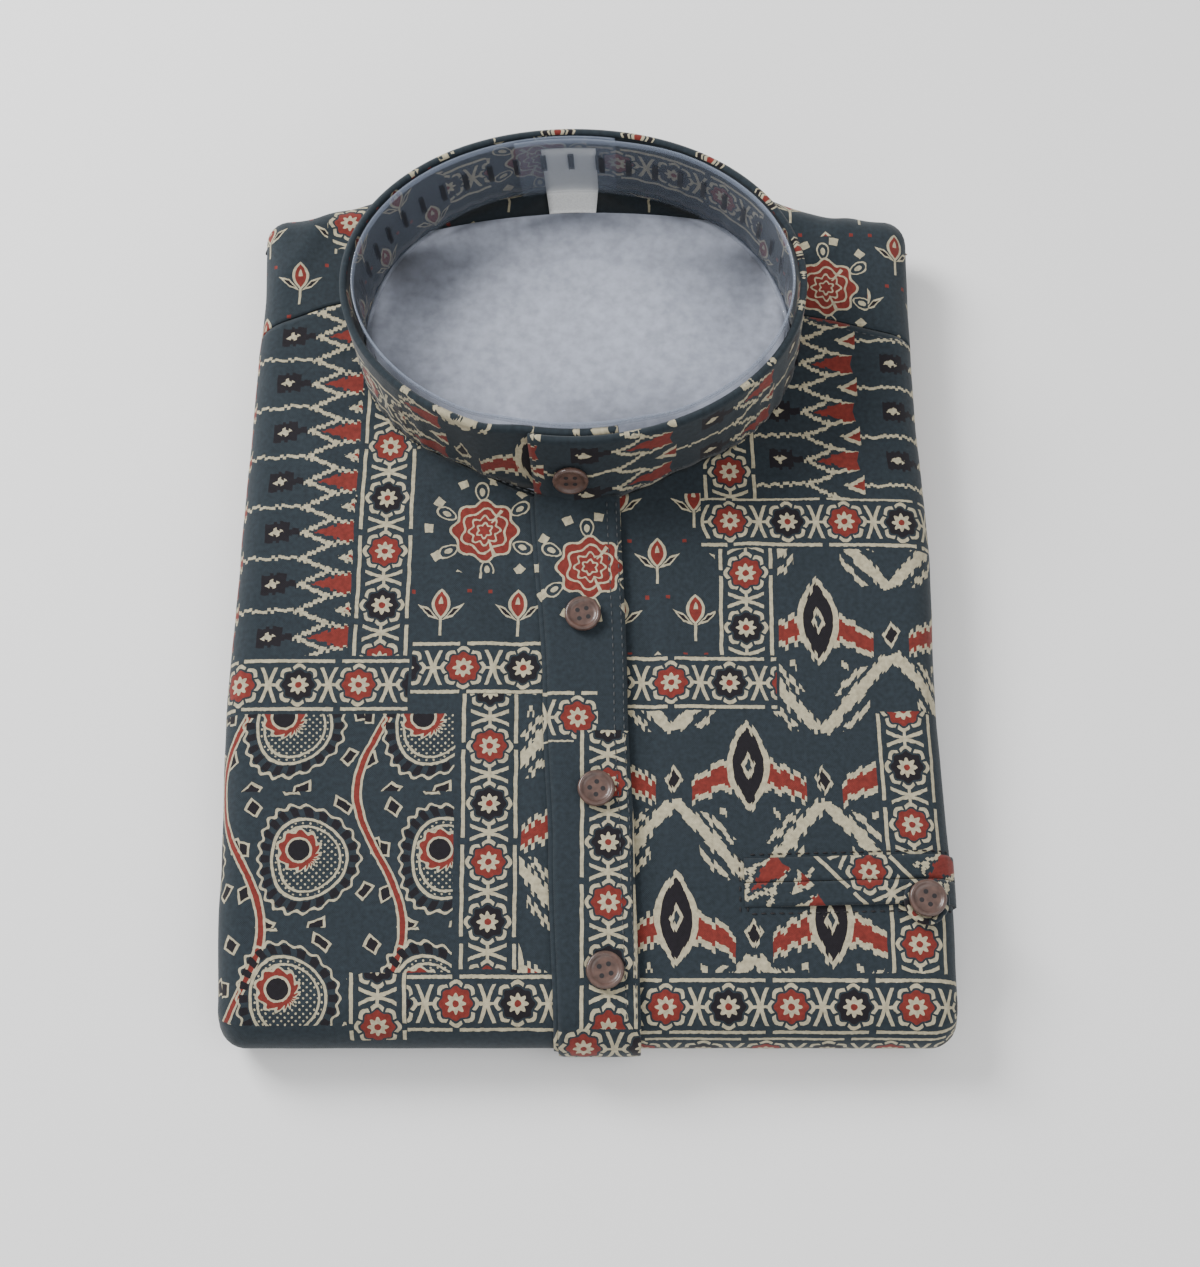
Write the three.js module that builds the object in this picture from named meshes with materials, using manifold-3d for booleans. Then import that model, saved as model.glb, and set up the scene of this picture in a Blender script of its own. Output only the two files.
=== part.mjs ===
// A kurta tunic folded flat for the shelf: front panels and yoke wrapped over the folded layers, a
// stand collar held open by a clear strip, and a packing sheet laid in the neck.
// Millimetres, +Z up, +Y towards the shoulders, +X towards the wearer's left. The origin is the
// centre of the base, on the surface that the folded tunic lies on.
import * as THREE from "three";
import { mergeVertices } from "three/addons/utils/BufferGeometryUtils.js";
import Module from "manifold-3d";

// ---- Driving dimensions ------------------------------------------------------------------------

const CLOTH = 1.2; // wall of one laid panel, turned hems included
const GAP = 0.3; // clearance between neighbouring pieces
const AIR = 0.8; // clearance between the front panels and the folded layers below them
const STACK_HEIGHT = 26; // base to the top of the front panels
const HALF_WIDTH = 120; // nominal, before the uneven sides below
const FOLD_Y = -165; // bottom fold
const SHOULDER_Y = 141; // shoulder tips
const NECK_RISE = 26.8; // the shoulder line climbs this much towards the neck
const SIDE_ROLL = 9; // radii over which the panels roll at the sides, bottom fold and shoulders
const FOLD_ROLL = 13;
const SHOULDER_ROLL = 10;
const SIDE_WRAP = 1.9; // how far the cloth follows each roll, in radians
const FOLD_WRAP = 2.6;
const PLACKET_WRAP = 2.15;
const SHOULDER_WRAP = 1.9;
const FLAT_X = HALF_WIDTH - SIDE_ROLL; // where the side rolls start
const FLAT_Y = FOLD_Y + FOLD_ROLL; // where the bottom fold starts

// Half widths of the folded stack along its length: the sides were folded by hand, so they wander.
const SIDES = [
  { y: -165, left: 119.0, right: 121.0 },
  { y: -117, left: 121.0, right: 121.3 },
  { y: -47, left: 122.6, right: 119.5 },
  { y: 4, left: 121.3, right: 120.3 },
  { y: 66, left: 119.7, right: 118.1 },
  { y: 107, left: 118.2, right: 118.0 },
  { y: 141, left: 119.4, right: 118.7 },
];

// Broad shallow hollows (negative) and swells of the stack's top, in millimetres.
const SWELLS = [
  { x: -72, y: -62, reach: 46, height: -0.9 },
  { x: -88, y: 34, reach: 38, height: 0.7 },
  { x: 66, y: -44, reach: 44, height: -0.8 },
  { x: 84, y: 38, reach: 40, height: 0.6 },
  { x: -30, y: -120, reach: 36, height: 0.6 },
  { x: 92, y: 112, reach: 28, height: -0.7 },
];
const FOLD_SAG = 0.09; // share of the height lost at the bottom fold
const SIDE_SAG = 0.05; // and at the sides

// Edges of the folded layers below the front: one lobe for each fold that shows at a side and at
// the shoulder end. reach is how far it stands out past the flat of the stack.
const SIDE_LOBES = [
  { low: 0, high: 6.4, reach: 6.6 },
  { low: 6.4, high: 13.4, reach: 7.9 },
];
const SHOULDER_LOBES = [
  { low: 0, high: 5.2, reach: 3.4 },
  { low: 5.2, high: 12.6, reach: 6.2 },
];
const LAYER_LEVELS = [0, 1, 3.2, 5.4, 6.4, 7.6, 9.9, 12.2, 13.4, 14.6, 17, 19.6, 21.6, 23.2, 24];

// Collar band and neck seam. The band is a straight strip bent to the neck, so its top edge is
// wider and shorter than its foot.
const NECK_FOOT = { x: -3, y: 89.5, halfWidth: 79.5, halfLength: 65.5 };
const NECK_RIM = { x: -4.5, y: 93.8, halfWidth: 81.5, halfLength: 62.5 };
const BAND_FOOT_Z = 24.9;
const BAND_HEIGHT = 32;
const BAND_WALL = 2.4;
const BAND_UNDER_END = 0.2; // angles from the front centre, towards the wearer's left
const BAND_OVER_END = -0.19 - 2 * Math.PI;
const BAND_TUCK = BAND_WALL + 0.4; // the under end is set in by this much

// Clear strip inside the band, its ends overlapped at the back.
const STRIP_WALL = 0.8;
const STRIP_START = -2.86;
const STRIP_END = -3.33 - 2 * Math.PI;
const STRIP_FOOT_Z = 26;
const STRIP_OVERLAP_STEP = STRIP_WALL + GAP;

const RECESS_Z = 21.9; // floor of the neck hollow in the folded layers
const INNER_YOKE_Z = RECESS_Z + GAP;
const SHEET_Z = INNER_YOKE_Z + CLOTH + GAP;
const SHEET_WALL = 0.9;
const SHEET_BACK = { x: 4, y: 141, halfWidth: 76, drop: 12 }; // the sheet's far edge, slightly bowed

// Placket edges from the collar to the bottom fold: it leans a little to the wearer's left.
const PLACKET = [
  { y: 34, left: -18.2, right: 11.6 },
  { y: -52, left: -12.6, right: 14.2 },
  { y: -104, left: -10.5, right: 16.0 },
  { y: -165, left: -8.6, right: 17.9 },
];
const PLACKET_SLIVER = 1.6; // the under band shows this much past the free edge

// Yoke seam across the shoulders, on both sides of the neck.
const YOKE_SEAM = [
  { x: -125, y: 90 },
  { x: -96, y: 101 },
  { x: -84, y: 104 },
  { x: 78, y: 98 },
  { x: 90, y: 96 },
  { x: 125, y: 87 },
];

// Welt pocket on the wearer's left front; it runs on round the side fold.
const POCKET = { inner: 51.5, top: -105.5, mouth: -113.7, bottom: -121.8 };

const BUTTON_RADIUS = 6.2;
const BUTTON_HEIGHT = 2.6;
const PLACKET_BUTTONS = [
  { x: -1.0, y: -20.8 },
  { x: 3.6, y: -82.6 },
  { x: 6.4, y: -143 },
];
const POCKET_BUTTON = { x: 110, y: -119.5 };
const LOOP_CORD = 1.1; // radius of the rouleau cord
const LOOP_RADIUS = 6.4;

// ---- Small helpers -----------------------------------------------------------------------------

const lerp = (a, b, t) => a + (b - a) * t;
const clamp = (value, low, high) => Math.min(high, Math.max(low, value));
const smooth = (low, high, value) => THREE.MathUtils.smoothstep(value, low, high);
const steps = (from, to, count) => Array.from({ length: count + 1 }, (_, i) => lerp(from, to, i / count));

// Reads one named column of a table whose rows are ordered by the key column.
function readTable(rows, key, column, at) {
  const up = rows[0][key] < rows[1][key];
  const ordered = up ? rows : [...rows].reverse();
  const next = clamp(ordered.findIndex((row) => row[key] > at), 1, ordered.length - 1);
  const low = at > ordered.at(-1)[key] ? ordered.at(-2) : ordered[next - 1];
  const high = at > ordered.at(-1)[key] ? ordered.at(-1) : ordered[next];
  const t = clamp((at - low[key]) / (high[key] - low[key]), 0, 1);
  return lerp(low[column], high[column], t * t * (3 - 2 * t));
}

// ---- Form of the folded stack ------------------------------------------------------------------

// Widens or narrows the stack so that its sides follow the table.
function sideways(x, y) {
  const half = readTable(SIDES, "y", x < 0 ? "left" : "right", y);
  return x * (half / HALF_WIDTH);
}

const shoulderLine = (x) => SHOULDER_Y + NECK_RISE * (1 - smooth(18, 108, Math.abs(x + 4)));

// Share of the full height that the stack keeps at a place in plan.
function settle(x, y) {
  const down = clamp((NECK_FOOT.y - y) / (NECK_FOOT.y - FOLD_Y), 0, 1);
  const out = clamp(Math.abs(x) / HALF_WIDTH, 0, 1);
  let share = 1 - FOLD_SAG * down ** 3 - SIDE_SAG * out ** 4;
  for (const swell of SWELLS) {
    const away = Math.hypot(x - swell.x, y - swell.y) / swell.reach;
    share += (swell.height / STACK_HEIGHT) * Math.exp(-away * away);
  }
  return share;
}

function settled(x, y, z) {
  return new THREE.Vector3(sideways(x, y), y, z * settle(x, y));
}

// The outer skin of the stack. u and v are cloth coordinates: on the flat they are x and y, and past
// it they run on round the rolls. lift moves the point out along the skin's normal.
function skin(u, v, lift = 0) {
  const side = clamp(Math.abs(u) - FLAT_X, 0, Infinity) / SIDE_ROLL;
  const x = Math.sign(u) * (Math.min(Math.abs(u), FLAT_X) + (SIDE_ROLL + lift) * Math.sin(side));
  const depth = SIDE_ROLL - (SIDE_ROLL + lift) * Math.cos(side);
  const shoulderFlat = shoulderLine(u) - SHOULDER_ROLL;
  let roll = 0;
  let radius = FOLD_ROLL;
  let y = v;
  if (v < FLAT_Y) {
    roll = -(FLAT_Y - v) / FOLD_ROLL;
    y = FLAT_Y;
  } else if (v > shoulderFlat) {
    radius = SHOULDER_ROLL;
    roll = (v - shoulderFlat) / SHOULDER_ROLL;
    y = shoulderFlat;
  }
  return settled(
    x,
    y + (radius - depth) * Math.sin(roll),
    STACK_HEIGHT - radius + (radius - depth) * Math.cos(roll),
  );
}

const SIDE_END = FLAT_X + SIDE_ROLL * SIDE_WRAP;
const FOLD_END = FLAT_Y - FOLD_ROLL * FOLD_WRAP;

// ---- Mesh building -----------------------------------------------------------------------------

// Merges equal vertices and drops triangles that closed up.
function weld(triangles) {
  const geometry = new THREE.BufferGeometry();
  geometry.setAttribute("position", new THREE.Float32BufferAttribute(triangles.flatMap((p) => p.toArray()), 3));
  return weldGeometry(geometry);
}

function weldGeometry(geometry) {
  const bare = new THREE.BufferGeometry();
  bare.setAttribute("position", geometry.getAttribute("position"));
  if (geometry.index) bare.setIndex(geometry.index);
  const merged = mergeVertices(bare, 1e-3);
  const kept = [];
  const index = merged.index.array;
  for (let i = 0; i < index.length; i += 3) {
    const [a, b, c] = [index[i], index[i + 1], index[i + 2]];
    if (a !== b && b !== c && c !== a) kept.push(a, b, c);
  }
  merged.setIndex(kept);
  return merged;
}

// A wall between two grids of points that match row by row: the outer grid faces out.
function wall(outer, inner) {
  const triangles = [];
  const quad = (a, b, c, d) => triangles.push(a, b, c, a, c, d);
  const rows = outer.length - 1;
  const columns = outer[0].length - 1;
  for (let j = 0; j < rows; j++) {
    for (let i = 0; i < columns; i++) {
      quad(outer[j][i], outer[j][i + 1], outer[j + 1][i + 1], outer[j + 1][i]);
      quad(inner[j][i], inner[j + 1][i], inner[j + 1][i + 1], inner[j][i + 1]);
    }
    quad(inner[j][0], outer[j][0], outer[j + 1][0], inner[j + 1][0]);
    quad(outer[j][columns], inner[j][columns], inner[j + 1][columns], outer[j + 1][columns]);
  }
  for (let i = 0; i < columns; i++) {
    quad(outer[0][i], inner[0][i], inner[0][i + 1], outer[0][i + 1]);
    quad(inner[rows][i], outer[rows][i], outer[rows][i + 1], inner[rows][i + 1]);
  }
  return weld(triangles);
}

// A laid panel: rows of cloth coordinates, each with its own left and right ends.
function panel(vs, leftAt, rightAt, fractions, lift = 0, thickness = CLOTH) {
  const layer = (height) => vs.map((v) => fractions.map((f) => skin(lerp(leftAt(v), rightAt(v), f), v, height)));
  return wall(layer(lift), layer(lift - thickness));
}

const wasm = await Module();
wasm.setup();

function solid(geometry) {
  const welded = weldGeometry(geometry);
  return new wasm.Manifold(new wasm.Mesh({
    numProp: 3,
    vertProperties: new Float32Array(welded.getAttribute("position").array),
    triVerts: new Uint32Array(welded.index.array),
  }));
}

function geometryOf(manifold) {
  const mesh = manifold.getMesh();
  const geometry = new THREE.BufferGeometry();
  geometry.setAttribute("position", new THREE.BufferAttribute(new Float32Array(mesh.vertProperties), 3));
  geometry.setIndex(new THREE.BufferAttribute(new Uint32Array(mesh.triVerts), 1));
  return weldGeometry(geometry);
}

// ---- Neck curves -------------------------------------------------------------------------------

// A point of the neck ring at an angle from the front centre. height runs from 0 at the foot to 1 at
// the rim, and inset moves the point towards the middle of the neck.
function ring(angle, height, inset) {
  const lerpOf = (name) => lerp(NECK_FOOT[name], NECK_RIM[name], height);
  const x = Math.sin(angle);
  const y = -Math.cos(angle);
  const halfWidth = lerpOf("halfWidth");
  const halfLength = lerpOf("halfLength");
  const away = halfWidth * x;
  const vee = 4 * Math.exp(-(((Math.abs(away) - 40) / 18) ** 2)) - 3 * Math.exp(-((away / 14) ** 2));
  const pull = y < 0 ? vee * (1 - height) : 0;
  const normal = new THREE.Vector2(x / halfWidth, y / halfLength).normalize();
  return new THREE.Vector2(
    lerpOf("x") + away - normal.x * inset,
    lerpOf("y") + halfLength * y + pull - normal.y * inset,
  );
}

// Closed outline of the neck at the foot of the band, as a prism from one height to another.
function neckPrism(inset, low, high) {
  const points = steps(0, 2 * Math.PI, 64).slice(0, -1).map((angle) => ring(angle, 0, inset));
  const geometry = new THREE.ExtrudeGeometry(new THREE.Shape(points), { depth: high - low, bevelEnabled: false });
  return geometry.translate(0, 0, low);
}

// ---- Folded layers -----------------------------------------------------------------------------

const TOP_COLUMNS = 16;
const TOP_ROWS = 14;

// How far a roll of the given radius, centred at middle, stands out at height z.
function rollReach(radius, middle, z) {
  return Math.sqrt(Math.max(0, radius ** 2 - (z - middle) ** 2));
}

function lobeReach(lobes, radius, middle, z) {
  const lobe = lobes.find((one) => z < one.high - 1e-6);
  if (!lobe) return z > middle ? rollReach(radius, middle, z) : radius;
  const half = (lobe.high - lobe.low) / 2;
  const round = Math.sqrt(Math.max(0, 1 - ((z - lobe.low - half) / half) ** 2));
  return lobe.reach - 2.4 * (1 - round);
}

// One level of the hidden layers: the flat of the stack with a rounded border whose reach depends on
// the height. Every level has the same number of points, in the same order.
function layerOutline(z) {
  const inside = CLOTH + AIR;
  const side = lobeReach(SIDE_LOBES, SIDE_ROLL - inside, STACK_HEIGHT - SIDE_ROLL, z);
  const back = lobeReach(SHOULDER_LOBES, SHOULDER_ROLL - inside, STACK_HEIGHT - SHOULDER_ROLL, z);
  const front = rollReach(FOLD_ROLL - inside, STACK_HEIGHT - FOLD_ROLL, z);
  const points = [];
  const corner = (x, y, reachX, reachY, from) => {
    for (const turn of steps(from, from + Math.PI / 2, 4)) {
      points.push([x + reachX * Math.cos(turn), y + reachY * Math.sin(turn)]);
    }
  };
  const backFlat = (x) => shoulderLine(x) - SHOULDER_ROLL;
  const alongX = steps(-FLAT_X, FLAT_X, TOP_COLUMNS).slice(1, -1);
  const alongY = (x) => steps(FLAT_Y, backFlat(x), TOP_ROWS).slice(1, -1);
  corner(FLAT_X, FLAT_Y, side, front, -Math.PI / 2);
  points.push(...alongY(FLAT_X).map((y) => [FLAT_X + side, y]));
  corner(FLAT_X, backFlat(FLAT_X), side, back, 0);
  points.push(...[...alongX].reverse().map((x) => [x, backFlat(x) + back]));
  corner(-FLAT_X, backFlat(-FLAT_X), side, back, Math.PI / 2);
  points.push(...alongY(-FLAT_X).reverse().map((y) => [-FLAT_X - side, y]));
  corner(-FLAT_X, FLAT_Y, side, front, Math.PI);
  points.push(...alongX.map((x) => [x, FLAT_Y - front]));
  return points.map(([x, y]) => settled(x, y, z));
}

function foldedLayers() {
  const rings = LAYER_LEVELS.map(layerOutline);
  const triangles = [];
  for (let k = 0; k + 1 < rings.length; k++) {
    const [low, high] = [rings[k], rings[k + 1]];
    low.forEach((point, i) => {
      const j = (i + 1) % low.length;
      triangles.push(point, low[j], high[j], point, high[j], high[i]);
    });
  }
  const base = rings[0];
  const faces = THREE.ShapeUtils.triangulateShape(base.map((p) => new THREE.Vector2(p.x, p.y)), []);
  for (const [a, b, c] of faces) triangles.push(base[a], base[c], base[b]);
  const top = LAYER_LEVELS.at(-1);
  const grid = steps(0, 1, TOP_ROWS).map((t) => steps(-FLAT_X, FLAT_X, TOP_COLUMNS).map((x) => (
    settled(x, lerp(FLAT_Y, shoulderLine(x) - SHOULDER_ROLL, t), top))));
  for (let j = 0; j < TOP_ROWS; j++) {
    for (let i = 0; i < TOP_COLUMNS; i++) {
      const [a, b, c, d] = [grid[j][i], grid[j][i + 1], grid[j + 1][i + 1], grid[j + 1][i]];
      triangles.push(a, b, c, a, c, d);
    }
  }
  const hollow = neckPrism(BAND_WALL, RECESS_Z, STACK_HEIGHT + 4);
  return geometryOf(solid(weld(triangles)).subtract(solid(hollow)));
}

// ---- Laid panels -------------------------------------------------------------------------------

const yokeSeam = (u) => readTable(YOKE_SEAM, "x", "y", u);
const placketLeft = (v) => readTable(PLACKET, "y", "left", v);
const placketRight = (v) => readTable(PLACKET, "y", "right", v);
const bottomRows = steps(FOLD_END, FLAT_Y, 7);
const placketFoldRows = steps(FLAT_Y - FOLD_ROLL * PLACKET_WRAP, FLAT_Y, 7);
const sideFractions = (outer, inner) => {
  const flat = outer < inner ? -FLAT_X : FLAT_X;
  const rolled = steps(outer, flat, 5).map((u) => (u - outer) / (inner - outer));
  const rest = steps(flat, inner, 7).map((u) => (u - outer) / (inner - outer));
  return [...rolled, ...rest.slice(1)];
};

// Cuts the neck out of a panel, leaving the collar's foot clear.
function neckCut(geometry) {
  return geometryOf(solid(geometry).subtract(solid(neckPrism(-GAP, 0, STACK_HEIGHT * 2))));
}

// A front panel from the bottom fold to the yoke seam, between its rolled side and the placket.
function frontPanel(outer, innerAt) {
  const rise = steps(0, 1, 16);
  const left = outer < 0;
  const fractions = sideFractions(outer, innerAt(0));
  const ordered = left ? fractions : fractions.map((f) => 1 - f).reverse();
  const at = (f, v) => (left ? lerp(outer, innerAt(v), f) : lerp(innerAt(v), outer, f));
  const layer = (height) => {
    const fold = bottomRows.slice(0, -1).map((v) => ordered.map((f) => skin(at(f, v), v, height)));
    const flat = rise.map((t) => ordered.map((f) => {
      const u = at(f, lerp(FLAT_Y, 90, t));
      return skin(u, lerp(FLAT_Y, yokeSeam(u) - 2 * GAP, t), height);
    }));
    return [...fold, ...flat];
  };
  return neckCut(wall(layer(0), layer(-CLOTH)));
}

function yokePiece() {
  const us = [
    ...steps(-SIDE_END, -FLAT_X, 5),
    ...steps(-FLAT_X, FLAT_X, TOP_COLUMNS).slice(1, -1),
    ...steps(FLAT_X, SIDE_END, 5),
  ];
  const wrap = SHOULDER_ROLL * SHOULDER_WRAP;
  const layer = (height) => {
    const flat = steps(0, 1, 5).map((t) => us.map((u) => (
      skin(u, lerp(yokeSeam(u), shoulderLine(u) - SHOULDER_ROLL, t), height))));
    const rolled = steps(0, wrap, 6).slice(1).map((run) => us.map((u) => (
      skin(u, shoulderLine(u) - SHOULDER_ROLL + run, height))));
    return [...flat, ...rolled];
  };
  return neckCut(wall(layer(0), layer(-CLOTH)));
}

function placketStrip(leftAt, rightAt, lift, thickness) {
  const clear = NECK_FOOT.y - NECK_FOOT.halfLength - 3;
  const rows = [...placketFoldRows.slice(0, -1), ...steps(FLAT_Y, clear + 7, 14)];
  const strip = panel(rows, leftAt, rightAt, steps(0, 1, 4), lift, thickness);
  return neckCut(strip);
}

const UNDER_LIFT = GAP + 1;
const OVER_LIFT = UNDER_LIFT + GAP + CLOTH;

// ---- Collar ------------------------------------------------------------------------------------

// A strip bent round the neck between two angles; insetAt gives its outer face, footAt and rimAt its
// edges above the base.
function neckStrip({ from, to, count, insetAt, thickness, footAt, rimAt, rows = 3 }) {
  const angles = steps(from, to, count);
  const face = (extra) => angles.map((angle) => steps(0, 1, rows).map((t) => {
    const z = lerp(footAt(angle), rimAt(angle), t);
    const point = ring(angle, (z - BAND_FOOT_Z) / BAND_HEIGHT, insetAt(angle) + extra);
    return new THREE.Vector3(point.x, point.y, z);
  }));
  return wall(face(0), face(thickness));
}

const bandInset = (angle) => BAND_TUCK * (1 - smooth(0.2, 0.42, -angle));
const bandRim = (angle) => BAND_FOOT_Z + BAND_HEIGHT - 1.2 * Math.cos(angle) ** 8;

function stripInset(angle) {
  const front = Math.abs(Math.atan2(Math.sin(angle), Math.cos(angle)));
  const clear = BAND_WALL + lerp(BAND_TUCK + 0.5, 1.8, smooth(0.25, 0.5, front));
  return clear + STRIP_OVERLAP_STEP * (1 - smooth(3.3, 3.7, -angle));
}

// The strip stands a little above the band, most at the back corners.
const stripRim = (angle) => BAND_FOOT_Z + BAND_HEIGHT + 0.6 + 1.6 * Math.sin(angle) ** 2;

// Neck tape: sewn to the back of the band, it turns in over the yoke.
function neckLabel() {
  const wallThickness = 0.8;
  const [left, right] = [-15.6, 4.4];
  const angleAt = (x) => -Math.PI + Math.asin(clamp((x - NECK_FOOT.x) / NECK_FOOT.halfWidth, -1, 1));
  const columns = steps(left, right, 4).map((x) => -angleAt(x) - 2 * Math.PI);
  const low = INNER_YOKE_Z + CLOTH + GAP;
  const profile = (extra) => columns.map((angle) => {
    const leg = steps(10, 1.2, 3).map((run) => {
      const p = ring(angle, 0, BAND_WALL + 0.5 + wallThickness + run);
      return new THREE.Vector3(p.x, p.y, low + wallThickness - extra);
    });
    const rise = [1.4, 8, 16, 25].map((climb) => {
      const z = low + climb;
      const p = ring(angle, (z - BAND_FOOT_Z) / BAND_HEIGHT, BAND_WALL + 0.5 + wallThickness - extra);
      return new THREE.Vector3(p.x, p.y, z);
    });
    return [...leg, ...rise];
  });
  return wall(profile(wallThickness), profile(0));
}

// ---- Neck filling ------------------------------------------------------------------------------

function neckPlate(low, thickness, inset, backAt) {
  const angles = steps(0, 2 * Math.PI, 48).slice(0, -1);
  const points = angles.map((angle) => {
    const p = ring(angle, 0, inset);
    if (backAt) p.y = Math.min(p.y, backAt(p.x));
    return p;
  });
  const geometry = new THREE.ExtrudeGeometry(new THREE.Shape(points), { depth: thickness, bevelEnabled: false });
  return weldGeometry(geometry.translate(0, 0, low));
}

const sheetBack = (x) => SHEET_BACK.y - SHEET_BACK.drop * ((x - SHEET_BACK.x) / SHEET_BACK.halfWidth) ** 2;

// ---- Pocket ------------------------------------------------------------------------------------

function weltStrip(low, high) {
  const us = [...steps(POCKET.inner, FLAT_X, 6), ...steps(FLAT_X, SIDE_END, 5).slice(1)];
  const lean = (u) => 0.03 * (u - POCKET.inner);
  const layer = (height) => steps(low, high, 2).map((v) => us.map((u) => skin(u, v + lean(u), height)));
  return wall(layer(GAP + 1), layer(GAP));
}

// Places a piece built upright at the origin on the skin, lifted and leaning by its normal.
function onSkin(mesh, { x, y }, lift) {
  const point = skin(x, y, lift);
  const across = skin(x + 1, y, lift).sub(point);
  const along = skin(x, y + 1, lift).sub(point);
  const normal = across.cross(along).normalize();
  mesh.position.copy(point);
  mesh.quaternion.setFromUnitVectors(new THREE.Vector3(0, 0, 1), normal);
  return mesh;
}

// Rouleau loop: a cord bent round the button's shank, its two ends meeting at the lower welt.
function pocketLoop() {
  const arc = steps(-0.78 * Math.PI, 0.78 * Math.PI, 22).map((turn) => (
    new THREE.Vector3(LOOP_RADIUS * Math.sin(turn), -LOOP_RADIUS * 1.12 * Math.cos(turn), 0)));
  const path = new THREE.CatmullRomCurve3(arc);
  const section = new THREE.Shape(steps(0, 2 * Math.PI, 8).slice(0, -1).map((turn) => (
    new THREE.Vector2(LOOP_CORD * Math.cos(turn), LOOP_CORD * Math.sin(turn)))));
  return weldGeometry(new THREE.ExtrudeGeometry(section, { steps: 26, extrudePath: path, bevelEnabled: false }));
}

// ---- Buttons -----------------------------------------------------------------------------------

function buttonGeometry() {
  const profile = [
    [0, 0], [4.6, 0], [6.2, 1.4], [5.9, 2.6], [5.1, 2.5], [4.5, 1.9], [0, 1.8],
  ].map(([radius, height]) => new THREE.Vector2(
    (radius * BUTTON_RADIUS) / 6.2,
    (height * BUTTON_HEIGHT) / 2.6,
  ));
  const disc = new THREE.LatheGeometry(profile, 20).rotateX(Math.PI / 2);
  let body = solid(disc);
  for (const turn of steps(Math.PI / 4, Math.PI / 4 + 2 * Math.PI, 4).slice(0, -1)) {
    const hole = new THREE.CylinderGeometry(0.8, 0.8, 8, 8).rotateX(Math.PI / 2);
    hole.translate(1.75 * Math.cos(turn), 1.75 * Math.sin(turn), 1);
    body = body.subtract(solid(hole));
  }
  return geometryOf(body);
}

// ---- Assembly ----------------------------------------------------------------------------------

const FINISHES = {
  print: new THREE.MeshStandardMaterial({ color: 0x2c3a42, roughness: 0.9, metalness: 0 }),
  printDark: new THREE.MeshStandardMaterial({ color: 0x222a31, roughness: 0.9, metalness: 0 }),
  sheet: new THREE.MeshStandardMaterial({ color: 0xb6bccb, roughness: 0.95, metalness: 0 }),
  clear: new THREE.MeshStandardMaterial({ color: 0xc9d3e2, roughness: 0.2, metalness: 0 }),
  tape: new THREE.MeshStandardMaterial({ color: 0xd9dbda, roughness: 0.9, metalness: 0 }),
  wood: new THREE.MeshStandardMaterial({ color: 0x6b4e44, roughness: 0.55, metalness: 0 }),
};

const kurta = new THREE.Group();

function add(name, geometry, finish) {
  const mesh = new THREE.Mesh(geometry, finish);
  mesh.name = name;
  kurta.add(mesh);
  return mesh;
}

function addStack() {
  add("folded_layers", foldedLayers(), FINISHES.printDark);
  add("front_right", frontPanel(-SIDE_END, (v) => placketRight(v) - 8), FINISHES.print);
  add("front_left", frontPanel(SIDE_END, (v) => placketRight(v) - 8 + GAP), FINISHES.print);
  add("yoke", yokePiece(), FINISHES.print);
}

function addPlacket() {
  const sliver = (v) => placketLeft(v) - PLACKET_SLIVER;
  add("placket_under_band", placketStrip(sliver, (v) => placketRight(v) - 1, UNDER_LIFT, 1), FINISHES.printDark);
  add("placket_band", placketStrip(placketLeft, placketRight, OVER_LIFT, CLOTH), FINISHES.print);
}

function addNeck() {
  add("back_yoke_inside", neckPlate(INNER_YOKE_Z, CLOTH, BAND_WALL + GAP), FINISHES.printDark);
  add("packing_sheet", neckPlate(SHEET_Z, SHEET_WALL, BAND_WALL + GAP, sheetBack), FINISHES.sheet);
  add("collar_band", neckStrip({
    from: BAND_UNDER_END,
    to: BAND_OVER_END,
    count: 84,
    insetAt: bandInset,
    thickness: BAND_WALL,
    footAt: () => BAND_FOOT_Z,
    rimAt: bandRim,
  }), FINISHES.print);
  add("collar_support", neckStrip({
    from: STRIP_START,
    to: STRIP_END,
    count: 80,
    insetAt: stripInset,
    thickness: STRIP_WALL,
    footAt: () => STRIP_FOOT_Z,
    rimAt: stripRim,
    rows: 2,
  }), FINISHES.clear);
  add("neck_label", neckLabel(), FINISHES.tape);
}

function addPocket() {
  add("pocket_welt_upper", weltStrip(POCKET.mouth + GAP / 2, POCKET.top), FINISHES.print);
  add("pocket_welt_lower", weltStrip(POCKET.bottom, POCKET.mouth - GAP / 2), FINISHES.print);
  onSkin(add("pocket_loop", pocketLoop(), FINISHES.printDark), POCKET_BUTTON, GAP + 1 + GAP + LOOP_CORD);
  const lift = GAP + 1 + GAP + 2 * LOOP_CORD + GAP;
  onSkin(add("button_pocket", buttonGeometry(), FINISHES.wood), POCKET_BUTTON, lift);
}

function addButtons() {
  PLACKET_BUTTONS.forEach((place, i) => {
    onSkin(add(`button_placket_${i + 1}`, buttonGeometry(), FINISHES.wood), place, OVER_LIFT + GAP);
  });
  const height = 0.47;
  const angle = -0.02 - 2 * Math.PI;
  const foot = ring(angle, height - 0.2, 0);
  const head = ring(angle, height + 0.2, 0);
  const middle = ring(angle, height, -GAP);
  const up = new THREE.Vector3(0, head.y - foot.y, 0.4 * BAND_HEIGHT).normalize();
  const button = add("button_collar", buttonGeometry(), FINISHES.wood);
  button.position.set(middle.x, middle.y, BAND_FOOT_Z + height * BAND_HEIGHT);
  button.quaternion.setFromUnitVectors(new THREE.Vector3(0, 0, 1), new THREE.Vector3(0, -up.z, up.y));
}

addStack();
addPlacket();
addNeck();
addPocket();
addButtons();

export default kurta;
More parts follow.
